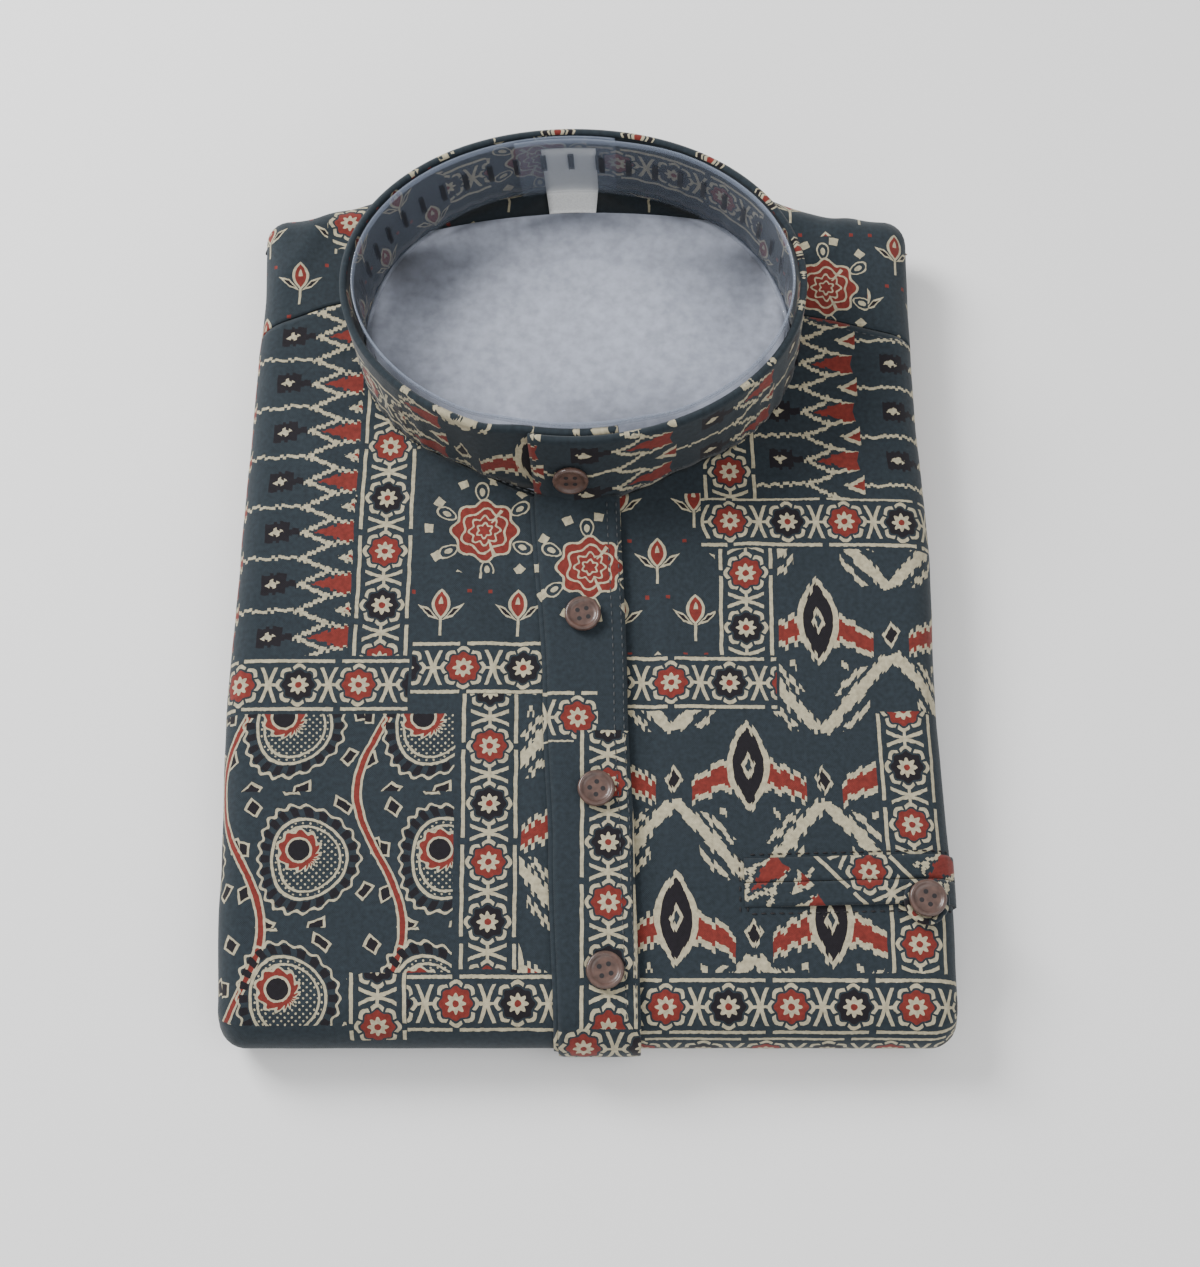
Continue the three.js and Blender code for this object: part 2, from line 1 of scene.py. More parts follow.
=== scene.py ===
"""The looks of a folded kurta tunic in printed patchwork cotton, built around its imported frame.

Lengths are in millimetres up to the last step of each piece, which scales its mesh to metres.
Cloth coordinates (u, v) run across the garment and up to its shoulders, and every printed piece
carries them in a UV map, so that the print follows the folds.
"""

import logging
import math
from collections.abc import Callable, Iterable, Sequence
from dataclasses import dataclass, field
from enum import IntEnum

import bmesh
import bpy
import numpy
from mathutils import Matrix, Vector


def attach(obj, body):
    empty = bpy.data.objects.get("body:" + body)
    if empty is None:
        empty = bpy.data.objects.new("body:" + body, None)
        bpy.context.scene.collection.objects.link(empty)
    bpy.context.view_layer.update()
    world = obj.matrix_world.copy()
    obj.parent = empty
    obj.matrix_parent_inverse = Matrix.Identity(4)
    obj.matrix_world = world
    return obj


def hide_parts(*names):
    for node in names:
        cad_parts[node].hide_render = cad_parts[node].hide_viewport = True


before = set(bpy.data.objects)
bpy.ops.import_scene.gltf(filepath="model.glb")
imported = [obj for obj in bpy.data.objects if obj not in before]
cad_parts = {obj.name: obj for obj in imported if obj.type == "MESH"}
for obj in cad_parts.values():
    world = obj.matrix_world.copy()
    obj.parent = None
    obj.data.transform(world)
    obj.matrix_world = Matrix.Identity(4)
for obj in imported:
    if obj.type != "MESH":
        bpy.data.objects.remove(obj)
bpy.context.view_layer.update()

log = logging.getLogger("kurta")

METRE = 0.001
CLOTH_MAP = "cloth"
CLOTH = 1.2
GAP = 0.3
SIDE_WRAP = 1.9
FOLD_WRAP = 2.6
SHOULDER_WRAP = 0.9
BAND_FOOT = 24.9
BAND_HEIGHT = 32.0
BAND_WALL = 2.4
THREAD_PITCH = 0.7
SAME_KIND = 0.4
TURN = 2 * math.pi

Colour = tuple[float, float, float]
Point = tuple[float, float, float]


def lerp(start: float, end: float, share: float) -> float:
    """Returns the value that lies a share of the way from start to end."""
    return start + (end - start) * share


def smoothstep(low: float, high: float, value: float) -> float:
    """Returns 0 below low, 1 above high and an eased step between them."""
    share = min(max((value - low) / (high - low), 0.0), 1.0)
    return share * share * (3 - 2 * share)


@dataclass(frozen=True)
class Row:
    """One row of an outline table: the left and right edges at a height."""

    y: float
    left: float
    right: float


SIDES = (
    Row(y=-165, left=119, right=121),
    Row(y=-117, left=121, right=121.3),
    Row(y=-47, left=122.6, right=119.5),
    Row(y=4, left=121.3, right=120.3),
    Row(y=66, left=119.7, right=118.1),
    Row(y=107, left=118.2, right=118),
    Row(y=141, left=119.4, right=118.7),
)
PLACKET = (
    Row(y=-165, left=-8.6, right=17.9),
    Row(y=-104, left=-10.5, right=16),
    Row(y=-52, left=-12.6, right=14.2),
    Row(y=34, left=-18.2, right=11.6),
)
YOKE_SEAM = ((-125, 90), (-96, 101), (-84, 104), (78, 98), (90, 96), (125, 87))


def edges(rows: Sequence[Row], y: float) -> tuple[float, float]:
    """Returns the left and right edges of an outline table at a height, eased between rows."""
    for low, high in zip(rows, rows[1:]):
        if y <= high.y:
            share = smoothstep(low.y, high.y, y)
            return lerp(low.left, high.left, share), lerp(low.right, high.right, share)
    return rows[-1].left, rows[-1].right


def yoke_seam(u: float) -> float:
    """Returns the height of the yoke seam at a place across the garment."""
    for (x0, y0), (x1, y1) in zip(YOKE_SEAM, YOKE_SEAM[1:]):
        if u <= x1:
            return lerp(y0, y1, max(u - x0, 0.0) / (x1 - x0))
    return YOKE_SEAM[-1][1]


@dataclass(frozen=True)
class Swell:
    """A broad soft rise or hollow of the stack."""

    x: float
    y: float
    reach: float
    height: float


@dataclass(frozen=True)
class Crease:
    """A soft ridge, or a trough where its height is negative, along one line of the cloth."""

    start: tuple[float, float]
    end: tuple[float, float]
    width: float
    height: float

    def at(self, u: float, v: float) -> float:
        """Returns the crease's height at a cloth point."""
        (x0, y0), (x1, y1) = self.start, self.end
        length = math.hypot(x1 - x0, y1 - y0)
        along = ((u - x0) * (x1 - x0) + (v - y0) * (y1 - y0)) / length**2
        off = ((u - x0) * (y1 - y0) - (v - y0) * (x1 - x0)) / length
        fade = smoothstep(-0.25, 0.2, along) * (1 - smoothstep(0.8, 1.25, along))
        return self.height * fade * math.exp(-((off / self.width) ** 2))


SWELLS = (
    Swell(-72, -62, 46, -0.9),
    Swell(-88, 34, 38, 0.7),
    Swell(66, -44, 44, -0.8),
    Swell(84, 38, 40, 0.6),
    Swell(-30, -120, 36, 0.6),
    Swell(92, 112, 28, -0.7),
)
CREASES = (
    Crease((-118, 84), (-92, 40), 5.0, 0.9),
    Crease((-60, 26), (-34, -28), 4.5, 0.8),
    Crease((-48, 22), (-27, -6), 3.0, -0.7),
    Crease((-116, -20), (-66, -34), 5.5, -0.6),
    Crease((-104, -70), (-52, -92), 6.0, 0.6),
    Crease((-70, -120), (-30, -146), 5.0, 0.5),
    Crease((-24, 10), (-20, -140), 3.2, -0.6),
    Crease((46, 22), (78, -22), 4.5, 0.8),
    Crease((60, 44), (98, 12), 4.0, 0.7),
    Crease((72, 58), (112, 44), 4.0, -0.6),
    Crease((24, -12), (40, -66), 5.0, 0.6),
    Crease((96, -24), (112, -92), 5.0, -0.6),
    Crease((30, -96), (64, -130), 6.0, 0.6),
    Crease((21, -6), (24, -142), 3.0, -0.6),
    Crease((-112, 112), (-92, 148), 5.0, 0.8),
    Crease((84, 118), (104, 150), 5.0, 0.8),
    Crease((-50, 160), (10, 163), 4.0, 0.5),
)


@dataclass(frozen=True)
class Garment:
    """The form that the folded cloth lies on: a flat stack with rolled edges."""

    half_width: float = 120.0
    stack_height: float = 26.0
    flat_x: float = 111.0
    flat_y: float = -152.0
    side_roll: float = 9.0
    fold_roll: float = 13.0
    shoulder_roll: float = 10.0
    shoulder_y: float = 141.0
    neck_rise: float = 26.8
    fold_y: float = -165.0
    neck_y: float = 89.5

    def shoulder_line(self, u: float) -> float:
        """Returns the height of the shoulder edge, which rises to the neck."""
        return self.shoulder_y + self.neck_rise * (1 - smoothstep(18, 108, abs(u + 4)))

    def settled(self, x: float, y: float, z: float) -> Point:
        """Returns a point after the stack has sunk at its fold, sides and hollows."""
        left, right = edges(SIDES, y)
        wide = x * (left if x < 0 else right) / self.half_width
        down = min(max((self.neck_y - y) / (self.neck_y - self.fold_y), 0), 1)
        out = min(abs(x) / self.half_width, 1)
        share = 1 - 0.09 * down**3 - 0.05 * out**4
        for swell in SWELLS:
            away = math.hypot(x - swell.x, y - swell.y) / swell.reach
            share += swell.height / self.stack_height * math.exp(-(away**2))
        return wide, y, z * share

    def skin(self, u: float, v: float, lift: float = 0.0) -> Point:
        """Returns the place of a cloth point, lifted off the stack's outer cloth."""
        side = max(abs(u) - self.flat_x, 0) / self.side_roll
        reach = min(abs(u), self.flat_x) + (self.side_roll + lift) * math.sin(side)
        depth = self.side_roll - (self.side_roll + lift) * math.cos(side)
        shoulder = self.shoulder_line(u) - self.shoulder_roll
        roll, y, radius = 0.0, v, self.fold_roll
        if v < self.flat_y:
            roll, y = (v - self.flat_y) / self.fold_roll, self.flat_y
        elif v > shoulder:
            radius = self.shoulder_roll
            roll, y = (v - shoulder) / radius, shoulder
        arm = radius - depth
        height = self.stack_height - radius + arm * math.cos(roll)
        return self.settled(math.copysign(reach, u), y + arm * math.sin(roll), height)


GARMENT = Garment()


@dataclass(frozen=True)
class Neck:
    """The ring round which the stand collar turns, from its foot on the cloth up to its rim."""

    foot: tuple[float, float, float, float] = (-3.0, 89.5, 79.5, 65.5)
    rim: tuple[float, float, float, float] = (-4.5, 93.8, 81.5, 62.5)

    def at(self, angle: float, height: float, inset: float = 0.0) -> tuple[float, float]:
        """Returns the ring's point at an angle from the front centre, moved in by an inset."""
        x, y, half_width, half_length = (lerp(a, b, height) for a, b in zip(self.foot, self.rim))
        east, north = math.sin(angle), -math.cos(angle)
        away = half_width * east
        vee = 4 * math.exp(-(((abs(away) - 40) / 18) ** 2)) - 3 * math.exp(-((away / 14) ** 2))
        pull = vee * (1 - height) if north < 0 else 0.0
        normal = Vector((east / half_width, north / half_length)).normalized()
        return x + away - normal.x * inset, y + half_length * north + pull - normal.y * inset

    def clearance(self, u: float, v: float) -> float:
        """Returns how far a cloth point lies outside the ring's foot, less than 0 inside."""
        x, y, half_width, half_length = self.foot
        angle = math.atan2((u - x) / half_width, -(v - y) / half_length)
        ring_x, ring_y = self.at(angle, 0)
        return math.hypot(u - x, v - y) - math.hypot(ring_x - x, ring_y - y)

    def nearest(self, u: float, v: float) -> tuple[float, float]:
        """Returns the point of the ring's foot in the direction of a cloth point."""
        x, y, half_width, half_length = self.foot
        return self.at(math.atan2((u - x) / half_width, -(v - y) / half_length), 0)


NECK = Neck()


CREASE_DEPTH = 1.5


def gathers(u: float, v: float) -> float:
    """Returns the height of the fine pleats that run into the collar seam."""
    away = max(NECK.clearance(u, v), 0.0)
    angle = math.atan2(u - NECK.foot[0], NECK.foot[1] - v)
    beat = math.sin(angle * 43 + 1.7 * math.sin(angle * 5)) + 0.6 * math.sin(angle * 71 + 2)
    return 0.42 * beat * math.exp(-away / 9.0) * (1 - math.exp(-away / 1.5))


def relief(u: float, v: float) -> float:
    """Returns how far the cloth stands off its smooth form."""
    ease = CREASE_DEPTH * sum(crease.at(u, v) for crease in CREASES)
    ripple = 0.12 * math.sin(u * 0.21 + 2 * math.sin(v * 0.06)) * math.sin(v * 0.17 + 1)
    return ease + ripple + gathers(u, v)


class Ink(IntEnum):
    """The colours that the cloth is printed with, in the order of the colour ramp."""

    GROUND = 0
    CREAM = 1
    RED = 2
    BLACK = 3


INKS: dict[Ink, Colour] = {
    Ink.GROUND: (0.0165, 0.0245, 0.0315),
    Ink.CREAM: (0.38, 0.34, 0.235),
    Ink.RED: (0.155, 0.021, 0.016),
    Ink.BLACK: (0.0075, 0.006, 0.009),
}


class Field:
    """A number in a shader node tree, which arithmetic turns into Math nodes."""

    def __init__(self, tree: bpy.types.NodeTree, socket: bpy.types.NodeSocket) -> None:
        """Wraps an output socket of a tree."""
        self.tree = tree
        self.socket = socket

    def math(self, operation: str, *others: "Field | float", swap: bool = False) -> "Field":
        """Returns a Math node of this field and others.

        Args:
            operation: the Math node's operation.
            others: its other operands, fields or plain numbers.
            swap: whether the first other operand comes before this field.

        Returns:
            The node's value as a new field.
        """
        node = self.tree.nodes.new("ShaderNodeMath")
        node.operation = operation
        operands = [self, *others]
        if swap:
            operands[0], operands[1] = operands[1], operands[0]
        for operand, socket in zip(operands, node.inputs):
            if isinstance(operand, Field):
                self.tree.links.new(operand.socket, socket)
            else:
                socket.default_value = operand
        return Field(self.tree, node.outputs[0])

    def __add__(self, other: "Field | float") -> "Field":
        """Returns the sum."""
        return self.math("ADD", other)

    def __sub__(self, other: "Field | float") -> "Field":
        """Returns the difference."""
        return self.math("SUBTRACT", other)

    def __rsub__(self, other: float) -> "Field":
        """Returns a plain number less this field."""
        return self.math("SUBTRACT", other, swap=True)

    def __mul__(self, other: "Field | float") -> "Field":
        """Returns the product, which is also the meeting of two masks."""
        return self.math("MULTIPLY", other)

    def __truediv__(self, other: float) -> "Field":
        """Returns this field divided by a plain number."""
        return self.math("DIVIDE", other)

    def __abs__(self) -> "Field":
        """Returns the size without its sign."""
        return self.math("ABSOLUTE")

    def __lt__(self, other: "Field | float") -> "Field":
        """Returns a mask of where this field is less."""
        return self.math("LESS_THAN", other)

    def __gt__(self, other: "Field | float") -> "Field":
        """Returns a mask of where this field is greater."""
        return self.math("GREATER_THAN", other)

    def near(self, centre: "Field | float", reach: float) -> "Field":
        """Returns a mask of where this field is within a reach of a centre."""
        return self.math("COMPARE", centre, reach)

    def repeat(self, pitch: float) -> "Field":
        """Returns this coordinate wrapped round 0 at a pitch."""
        return self.math("WRAP", -pitch / 2, pitch / 2)

    def cell(self, pitch: float) -> "Field":
        """Returns the number of the repeat that this coordinate is in."""
        return (self / pitch + 0.5).math("FLOOR")

    def odd(self) -> "Field":
        """Returns a mask of odd whole numbers."""
        return abs(self).math("MODULO", 2.0) > 0.5

    def cosine(self, beats: float) -> "Field":
        """Returns the cosine of this field times a number of beats."""
        return (self * beats).math("COSINE")


def paint(under: Field | float, mask: Field, value: Field | float) -> Field:
    """Returns a layer with a value painted on it where a mask is on."""
    node = mask.tree.nodes.new("ShaderNodeMix")
    mask.tree.links.new(mask.socket, node.inputs[0])
    for operand, socket in ((under, node.inputs[2]), (value, node.inputs[3])):
        if isinstance(operand, Field):
            mask.tree.links.new(operand.socket, socket)
        else:
            socket.default_value = float(operand)
    return Field(mask.tree, node.outputs[0])


Motif = Callable[[Field, Field], Field]


def rosettes(along: Field, across: Field) -> Field:
    """Paints a border of rosettes between two rails, joined by a stem and crossed leaves."""
    pitch = 20.0
    step, odd = along.repeat(pitch), along.cell(pitch).odd()
    radius = (step * step + across * across).math("SQRT")
    lobes = across.math("ARCTAN2", step).cosine(8)
    edge = abs(across)
    leaf = (edge / 6).math("POWER", 1.4) * 2.0 + 0.35
    mid = pitch / 2 - abs(step)
    ink = paint(Ink.GROUND, edge.near(8.6, 0.6) * (abs(along.repeat(33)) > 1.2), Ink.CREAM)
    ink = paint(ink, (edge < 0.5) * (radius > 6.8), Ink.CREAM)
    ink = paint(ink, mid.near(leaf, 0.62) * (edge < 6.2), Ink.CREAM)
    ink = paint(ink, radius.near(lobes * 0.45 + 6.6, 0.65) * (lobes > -0.86), Ink.CREAM)
    ink = paint(ink, radius < lobes * 0.4 + 5.25, odd + float(Ink.RED))
    ink = paint(ink, radius < lobes * 0.6 + 2.9, Ink.CREAM)
    return paint(ink, radius < 1.1, Ink.RED)


def combs(x: Field, y: Field) -> Field:
    """Paints ikat combs: tails that fork round red drops, with dark squares between the tails."""
    pitch, width = 19.3, 42.0
    x = x.math("WRAP", width, 0.0)
    drop = abs(y.repeat(pitch))
    tail = pitch / 2 - drop
    stair = (x / 1.5).math("FLOOR") * 1.5
    fork = (x > 20.8) * (x < 31.8)
    ink = paint(Ink.GROUND, (tail < 0.55) * (x < 20.8), Ink.CREAM)
    ink = paint(ink, drop.near(pitch / 2 - (stair - 20.8) * 0.457, 0.75) * fork, Ink.CREAM)
    ink = paint(ink, drop.near((stair - 21.2) * 0.48, 0.75) * fork, Ink.CREAM)
    ink = paint(ink, drop.near(4.8 - (x - 31.4) * 0.2, 0.65) * (x > 31.4), Ink.CREAM)
    ink = paint(ink, drop < ((x - 25.6) / 3.2).math("MINIMUM", 3.5), Ink.RED)
    ink = paint(ink, drop < (39.8 - x) * -4.0, Ink.GROUND)
    ink = paint(ink, tail < (x - 34.5) * 0.5, Ink.CREAM)
    ink = paint(ink, tail < (x - 37.5) * 0.45, Ink.RED)
    ink = paint(ink, x.near(13.0, 4.2) * (drop < 3.6), Ink.BLACK)
    ink = paint(ink, x.near(18.6, 2.2) * (drop < 1.2), Ink.BLACK)
    return paint(ink, abs(x - 12.6) / 2.6 + drop / 1.5 < 1.0, Ink.CREAM)


def plumes(x: Field, y: Field) -> Field:
    """Paints ikat plumes in a half-drop: a dark mandorla with arched red wings and barred vees."""
    width, height = 50.0, 52.0
    row = y.cell(height).odd()
    across = abs((x + row * (width / 2)).repeat(width))
    rise = y.repeat(height)
    gem = (width / 2 - across) / 3.2 + abs(rise + 5) / 4.9
    body = across / 7.2 + (rise / 16).math("POWER", 2.0)
    wing = abs(rise + 2.4 + across * across * 0.019)
    reach = across < 19.0
    ink = paint(Ink.GROUND, rise.near((across - 22) * 1.07 - 15.5, 3.0) * (rise < -12), Ink.CREAM)
    ink = paint(ink, rise.near((across - 15) * 1.07 - 16.5, 1.3) * (rise < -16), Ink.CREAM)
    ink = paint(ink, rise.near(39.2 - across * 1.1, 3.0) * (rise > 12), Ink.CREAM)
    ink = paint(ink, rise.near(31.2 - across * 1.1, 1.3) * (rise > 13) * (across > 8), Ink.CREAM)
    ink = paint(ink, (wing < 6.2 - across * 0.1) * reach, Ink.CREAM)
    ink = paint(ink, (wing < 3.6 - across * 0.06) * reach, Ink.RED)
    ink = paint(ink, body < 1.0, Ink.CREAM)
    ink = paint(ink, body < 0.72, Ink.BLACK)
    ring = across / 2.4 + abs(rise) / 5.0
    ink = paint(ink, ring < 1.0, Ink.CREAM)
    ink = paint(ink, ring < 0.5, Ink.GROUND)
    ink = paint(ink, across.near(8.8, 1.1) * rise.near(-16.5, 1.1), Ink.CREAM)
    ink = paint(ink, gem < 1.0, Ink.CREAM)
    return paint(ink, gem < 0.66, Ink.BLACK)


def buds(x: Field, y: Field) -> Field:
    """Paints red buds on short stalks between pairs of leaves, in a half-drop."""
    width, height = 26.0, 21.0
    row = y.cell(height).odd()
    across = abs((x + row * (width / 2)).repeat(width))
    rise = y.repeat(height)
    bud = (across * 1.25) / 3.2 + ((rise - 2.6) / 5).math("POWER", 2.0)
    leaf = abs(rise + 3.6 - across * 0.75) / 1.6 + abs(across - 4.2) / 3.8
    ink = paint(Ink.GROUND, (across < 0.45) * rise.near(-5.0, 4.0), Ink.CREAM)
    ink = paint(ink, leaf < 1.0, Ink.CREAM)
    ink = paint(ink, leaf < 0.55, Ink.BLACK)
    ink = paint(ink, bud < 1.25, Ink.CREAM)
    ink = paint(ink, bud < 0.85, Ink.RED)
    ink = paint(ink, (bud < 0.3) * (rise > 2.6), Ink.CREAM)
    return paint(ink, across.near(9.5, 0.7) * rise.near(7.0, 0.7), Ink.RED)


def roses(x: Field, y: Field) -> Field:
    """Paints one open rose with leaves and sprigs round it."""
    radius = (x * x + y * y).math("SQRT")
    turn = y.math("ARCTAN2", x)
    petals = turn.cosine(8)
    leaves = (turn + 0.45).cosine(6)
    inner = (turn + 0.6).cosine(6)
    leaf = leaves - ((radius - 14.6) / 3.6).math("POWER", 2.0) * 0.4
    sprig = radius.near(19.0, 1.5) * ((turn + 0.3).cosine(11) > 0.6)
    ink = paint(Ink.GROUND, leaf > 0.56, Ink.CREAM)
    ink = paint(ink, leaf > 0.72, Ink.GROUND)
    ink = paint(ink, leaf > 0.93, Ink.CREAM)
    ink = paint(ink, sprig, Ink.CREAM)
    ink = paint(ink, radius < petals * 0.9 + 11.2, Ink.CREAM)
    ink = paint(ink, radius < petals * 0.9 + 10.3, Ink.RED)
    ink = paint(ink, radius.near(inner * 0.8 + 7.6, 0.4), Ink.CREAM)
    ink = paint(ink, radius.near(petals * 0.7 + 4.8, 0.38), Ink.CREAM)
    ink = paint(ink, radius.near(inner * 0.4 + 2.4, 0.35), Ink.CREAM)
    rays = turn.near(0.9, 0.07).math("MAXIMUM", turn.near(-1.2, 0.07))
    return paint(ink, rays * radius.near(6.6, 3.0), Ink.CREAM)


def paisleys(x: Field, y: Field) -> Field:
    """Paints paisleys with beaded rims and a dotted field, and a red vine round them."""
    across = (x + y.cell(46.0).odd() * 6.0).repeat(46.0)
    rise = y.repeat(46.0)
    lean = across + (rise / 16).math("POWER", 2.0) * 3.0
    radius = (lean * lean * 1.15 + rise * rise * 0.95).math("SQRT")
    turn = rise.math("ARCTAN2", lean)
    beads, scallops = turn.cosine(22), turn.cosine(14)
    dots = across.cosine(2.6) * rise.cosine(2.6)
    core = ((across + 3.6) * (across + 3.6) + (rise - 3.0) * (rise - 3.0)).math("SQRT")
    vine = abs(((y * (TURN / 92)).math("SINE") * 8.0 + x + 23.0).repeat(46.0))
    ink = paint(Ink.GROUND, radius.near(23.6, 2.2) * ((turn + 0.5).cosine(9) > 0.5), Ink.CREAM)
    ink = paint(ink, radius.near(23.6, 1.4) * ((turn + 0.5).cosine(9) > 0.72), Ink.BLACK)
    ink = paint(ink, vine < 1.7, Ink.CREAM)
    ink = paint(ink, vine < 0.9, Ink.RED)
    ink = paint(ink, radius.near(beads * 0.6 + 17.6, 0.45), Ink.CREAM)
    ink = paint(ink, radius.near(15.6, 1.5) * (beads > -0.25), Ink.BLACK)
    ink = paint(ink, radius.near(13.2, 0.5), Ink.CREAM)
    ink = paint(ink, (radius < 12.4) * (dots > 0.62), Ink.CREAM)
    ink = paint(ink, radius.near(10.8, 0.4), Ink.CREAM)
    ink = paint(ink, core < scallops * 0.6 + 7.2, Ink.CREAM)
    ink = paint(ink, core < scallops * 0.6 + 6.3, Ink.RED)
    ink = paint(ink, core < 4.4, Ink.CREAM)
    return paint(ink, core < 3.6, Ink.BLACK)


class Kind(IntEnum):
    """The sorts of printed patches."""

    PLAIN = 0
    UPRIGHT = 1
    LEVEL = 2
    COMB = 3
    PLUME = 4
    BUD = 5
    ROSE = 6
    PAISLEY = 7


MOTIFS: dict[Kind, Motif] = {
    Kind.COMB: combs,
    Kind.PLUME: plumes,
    Kind.BUD: buds,
    Kind.ROSE: roses,
    Kind.PAISLEY: paisleys,
}


TEETH: dict[Kind, float] = {Kind.COMB: 1.3, Kind.PLUME: 2.6}


@dataclass(frozen=True)
class Patch:
    """A rectangle of the patchwork print, from left and bottom to right and top, in cloth mm."""

    kind: Kind
    left: float
    bottom: float
    right: float
    top: float
    origin: tuple[float, float]

    def holds(self, u: Field, v: Field) -> Field:
        """Returns a mask of the cloth points inside the patch."""
        across = u.near((self.left + self.right) / 2, (self.right - self.left) / 2)
        return across * v.near((self.bottom + self.top) / 2, (self.top - self.bottom) / 2)


LEFT_FRONT = (
    Patch(Kind.BUD, -80, -28, -10, 70, (-49, -18)),
    Patch(Kind.ROSE, -60, -4, -12, 42, (-35, 12)),
    Patch(Kind.COMB, -140, -34, -80, 110, (-119.5, 69.3)),
    Patch(Kind.UPRIGHT, -79.5, -34, -59, 110, (-69, 44.2)),
    Patch(Kind.LEVEL, -140, -55, -59, -34, (-115.4, -44.6)),
    Patch(Kind.LEVEL, -58, -48, -5, -28, (-40.8, -38.6)),
    Patch(Kind.PLUME, -24, -144, 0, -48, (-2, -90)),
    Patch(Kind.PAISLEY, -140, -160, -43, -55, (-89.9, -105.2)),
    Patch(Kind.UPRIGHT, -42.5, -142, -21.5, -48, (-31.5, -66.5)),
    Patch(Kind.UPRIGHT, -77, -166, -57.5, -143, (-67, -160.6)),
    Patch(Kind.LEVEL, -57.5, -163, -5, -143, (-41.7, -153)),
    Patch(Kind.PLAIN, -140, -200, 0, -166, (0, 0)),
)
RIGHT_FRONT = (
    Patch(Kind.BUD, 8, -36, 53, 26, (24.6, 1)),
    Patch(Kind.UPRIGHT, 40, 24, 60, 110, (50.6, 34.4)),
    Patch(Kind.COMB, 60, 24, 140, 110, (56.3, 58.1)),
    Patch(Kind.LEVEL, 40, 5, 140, 24, (50, 15.2)),
    Patch(Kind.UPRIGHT, 44.5, -34, 65, 5, (55, -4)),
    Patch(Kind.LEVEL, 12, -54, 65, -34, (29, -44)),
    Patch(Kind.PLUME, 66, -54, 140, 5, (79.6, -21.4)),
    Patch(Kind.PLUME, 12, -143, 97, -54, (54.3, -73.5)),
    Patch(Kind.UPRIGHT, 98, -143, 140, -54, (107.5, -53.5)),
    Patch(Kind.LEVEL, 12, -164, 140, -143, (25.7, -154)),
    Patch(Kind.LEVEL, 12, -200, 140, -165, (18, -174)),
)
BAND_FRONT = (
    Patch(Kind.ROSE, -24, -44, 24, 40, (1.4, -3)),
    Patch(Kind.LEVEL, -24, -66, 4, -46, (-2.6, -57.4)),
    Patch(Kind.UPRIGHT, -3, -160, 24, -62, (7.5, -80.5)),
    Patch(Kind.LEVEL, -24, -200, 24, -160, (-0.5, -167)),
)
YOKE = (
    Patch(Kind.BUD, -140, 60, -10, 240, (-106, 111)),
    Patch(Kind.UPRIGHT, -96, 125, -78, 240, (-88, 136)),
    Patch(Kind.BUD, 60, 60, 140, 240, (89, 124)),
    Patch(Kind.ROSE, 66, 92, 104, 130, (88.8, 109)),
)
COLLAR = (
    Patch(Kind.COMB, -560, -10, 120, 60, (0, 6)),
    Patch(Kind.UPRIGHT, 22, -10, 44, 60, (32, 10)),
    Patch(Kind.PLUME, -42, -10, 16, 60, (-12, 16)),
    Patch(Kind.LEVEL, -150, -10, -60, 60, (-80, 14)),
    Patch(Kind.BUD, -330, -10, -200, 60, (-260, 12)),
)
LINING = (
    Patch(Kind.BUD, -560, -20, 140, 240, (-120, 130)),
    Patch(Kind.LEVEL, -300, -20, -180, 60, (-240, 16)),
    Patch(Kind.ROSE, -230, 0, -196, 60, (-214, 18)),
)
BIAS = (
    Patch(Kind.COMB, -200, -300, 200, 300, (-70, -140)),
    Patch(Kind.UPRIGHT, -24, -300, 0, 300, (-12, -143.5)),
)


def new_group(name: str, inputs: Iterable[str], outputs: Iterable[str]) -> bpy.types.NodeTree:
    """Makes a shader node group whose sockets are all plain numbers."""
    group = bpy.data.node_groups.new(name, "ShaderNodeTree")
    for in_out, names in (("INPUT", inputs), ("OUTPUT", outputs)):
        for socket in names:
            group.interface.new_socket(socket, in_out=in_out, socket_type="NodeSocketFloat")
    return group


def motif_group(name: str, motif: Motif) -> bpy.types.NodeTree:
    """Wraps a motif as a node group from two cloth coordinates to an ink number."""
    group = new_group(name, ("Along", "Across"), ("Ink",))
    start = group.nodes.new("NodeGroupInput")
    end = group.nodes.new("NodeGroupOutput")
    ink = motif(Field(group, start.outputs["Along"]), Field(group, start.outputs["Across"]))
    group.links.new(ink.socket, end.inputs["Ink"])
    return group


def use_group(group: bpy.types.NodeTree, first: Field, second: Field) -> Field:
    """Adds a two-input group to the tree of its inputs and returns its first output."""
    node = first.tree.nodes.new("ShaderNodeGroup")
    node.node_tree = group
    first.tree.links.new(first.socket, node.inputs[0])
    first.tree.links.new(second.socket, node.inputs[1])
    return Field(first.tree, node.outputs[0])


def new_material(
    name: str, settings: dict[str, float]
) -> tuple[bpy.types.Material, bpy.types.NodeTree, bpy.types.Node]:
    """Makes a material and sets its shader's plain values.

    Args:
        name: the material's name.
        settings: values by the names of the shader's sockets.

    Returns:
        The material, its node tree and its shader node.
    """
    material = bpy.data.materials.new(name)
    material.use_nodes = True
    shader = material.node_tree.nodes["Principled BSDF"]
    for socket, value in settings.items():
        shader.inputs[socket].default_value = value
    return material, material.node_tree, shader


def noise(place: bpy.types.NodeSocket, scale: float, detail: float = 3) -> Field:
    """Adds a noise texture on a place and returns its value."""
    tree = place.id_data
    node = tree.nodes.new("ShaderNodeTexNoise")
    node.inputs["Scale"].default_value = scale
    node.inputs["Detail"].default_value = detail
    tree.links.new(place, node.inputs["Vector"])
    return Field(tree, node.outputs["Fac"])


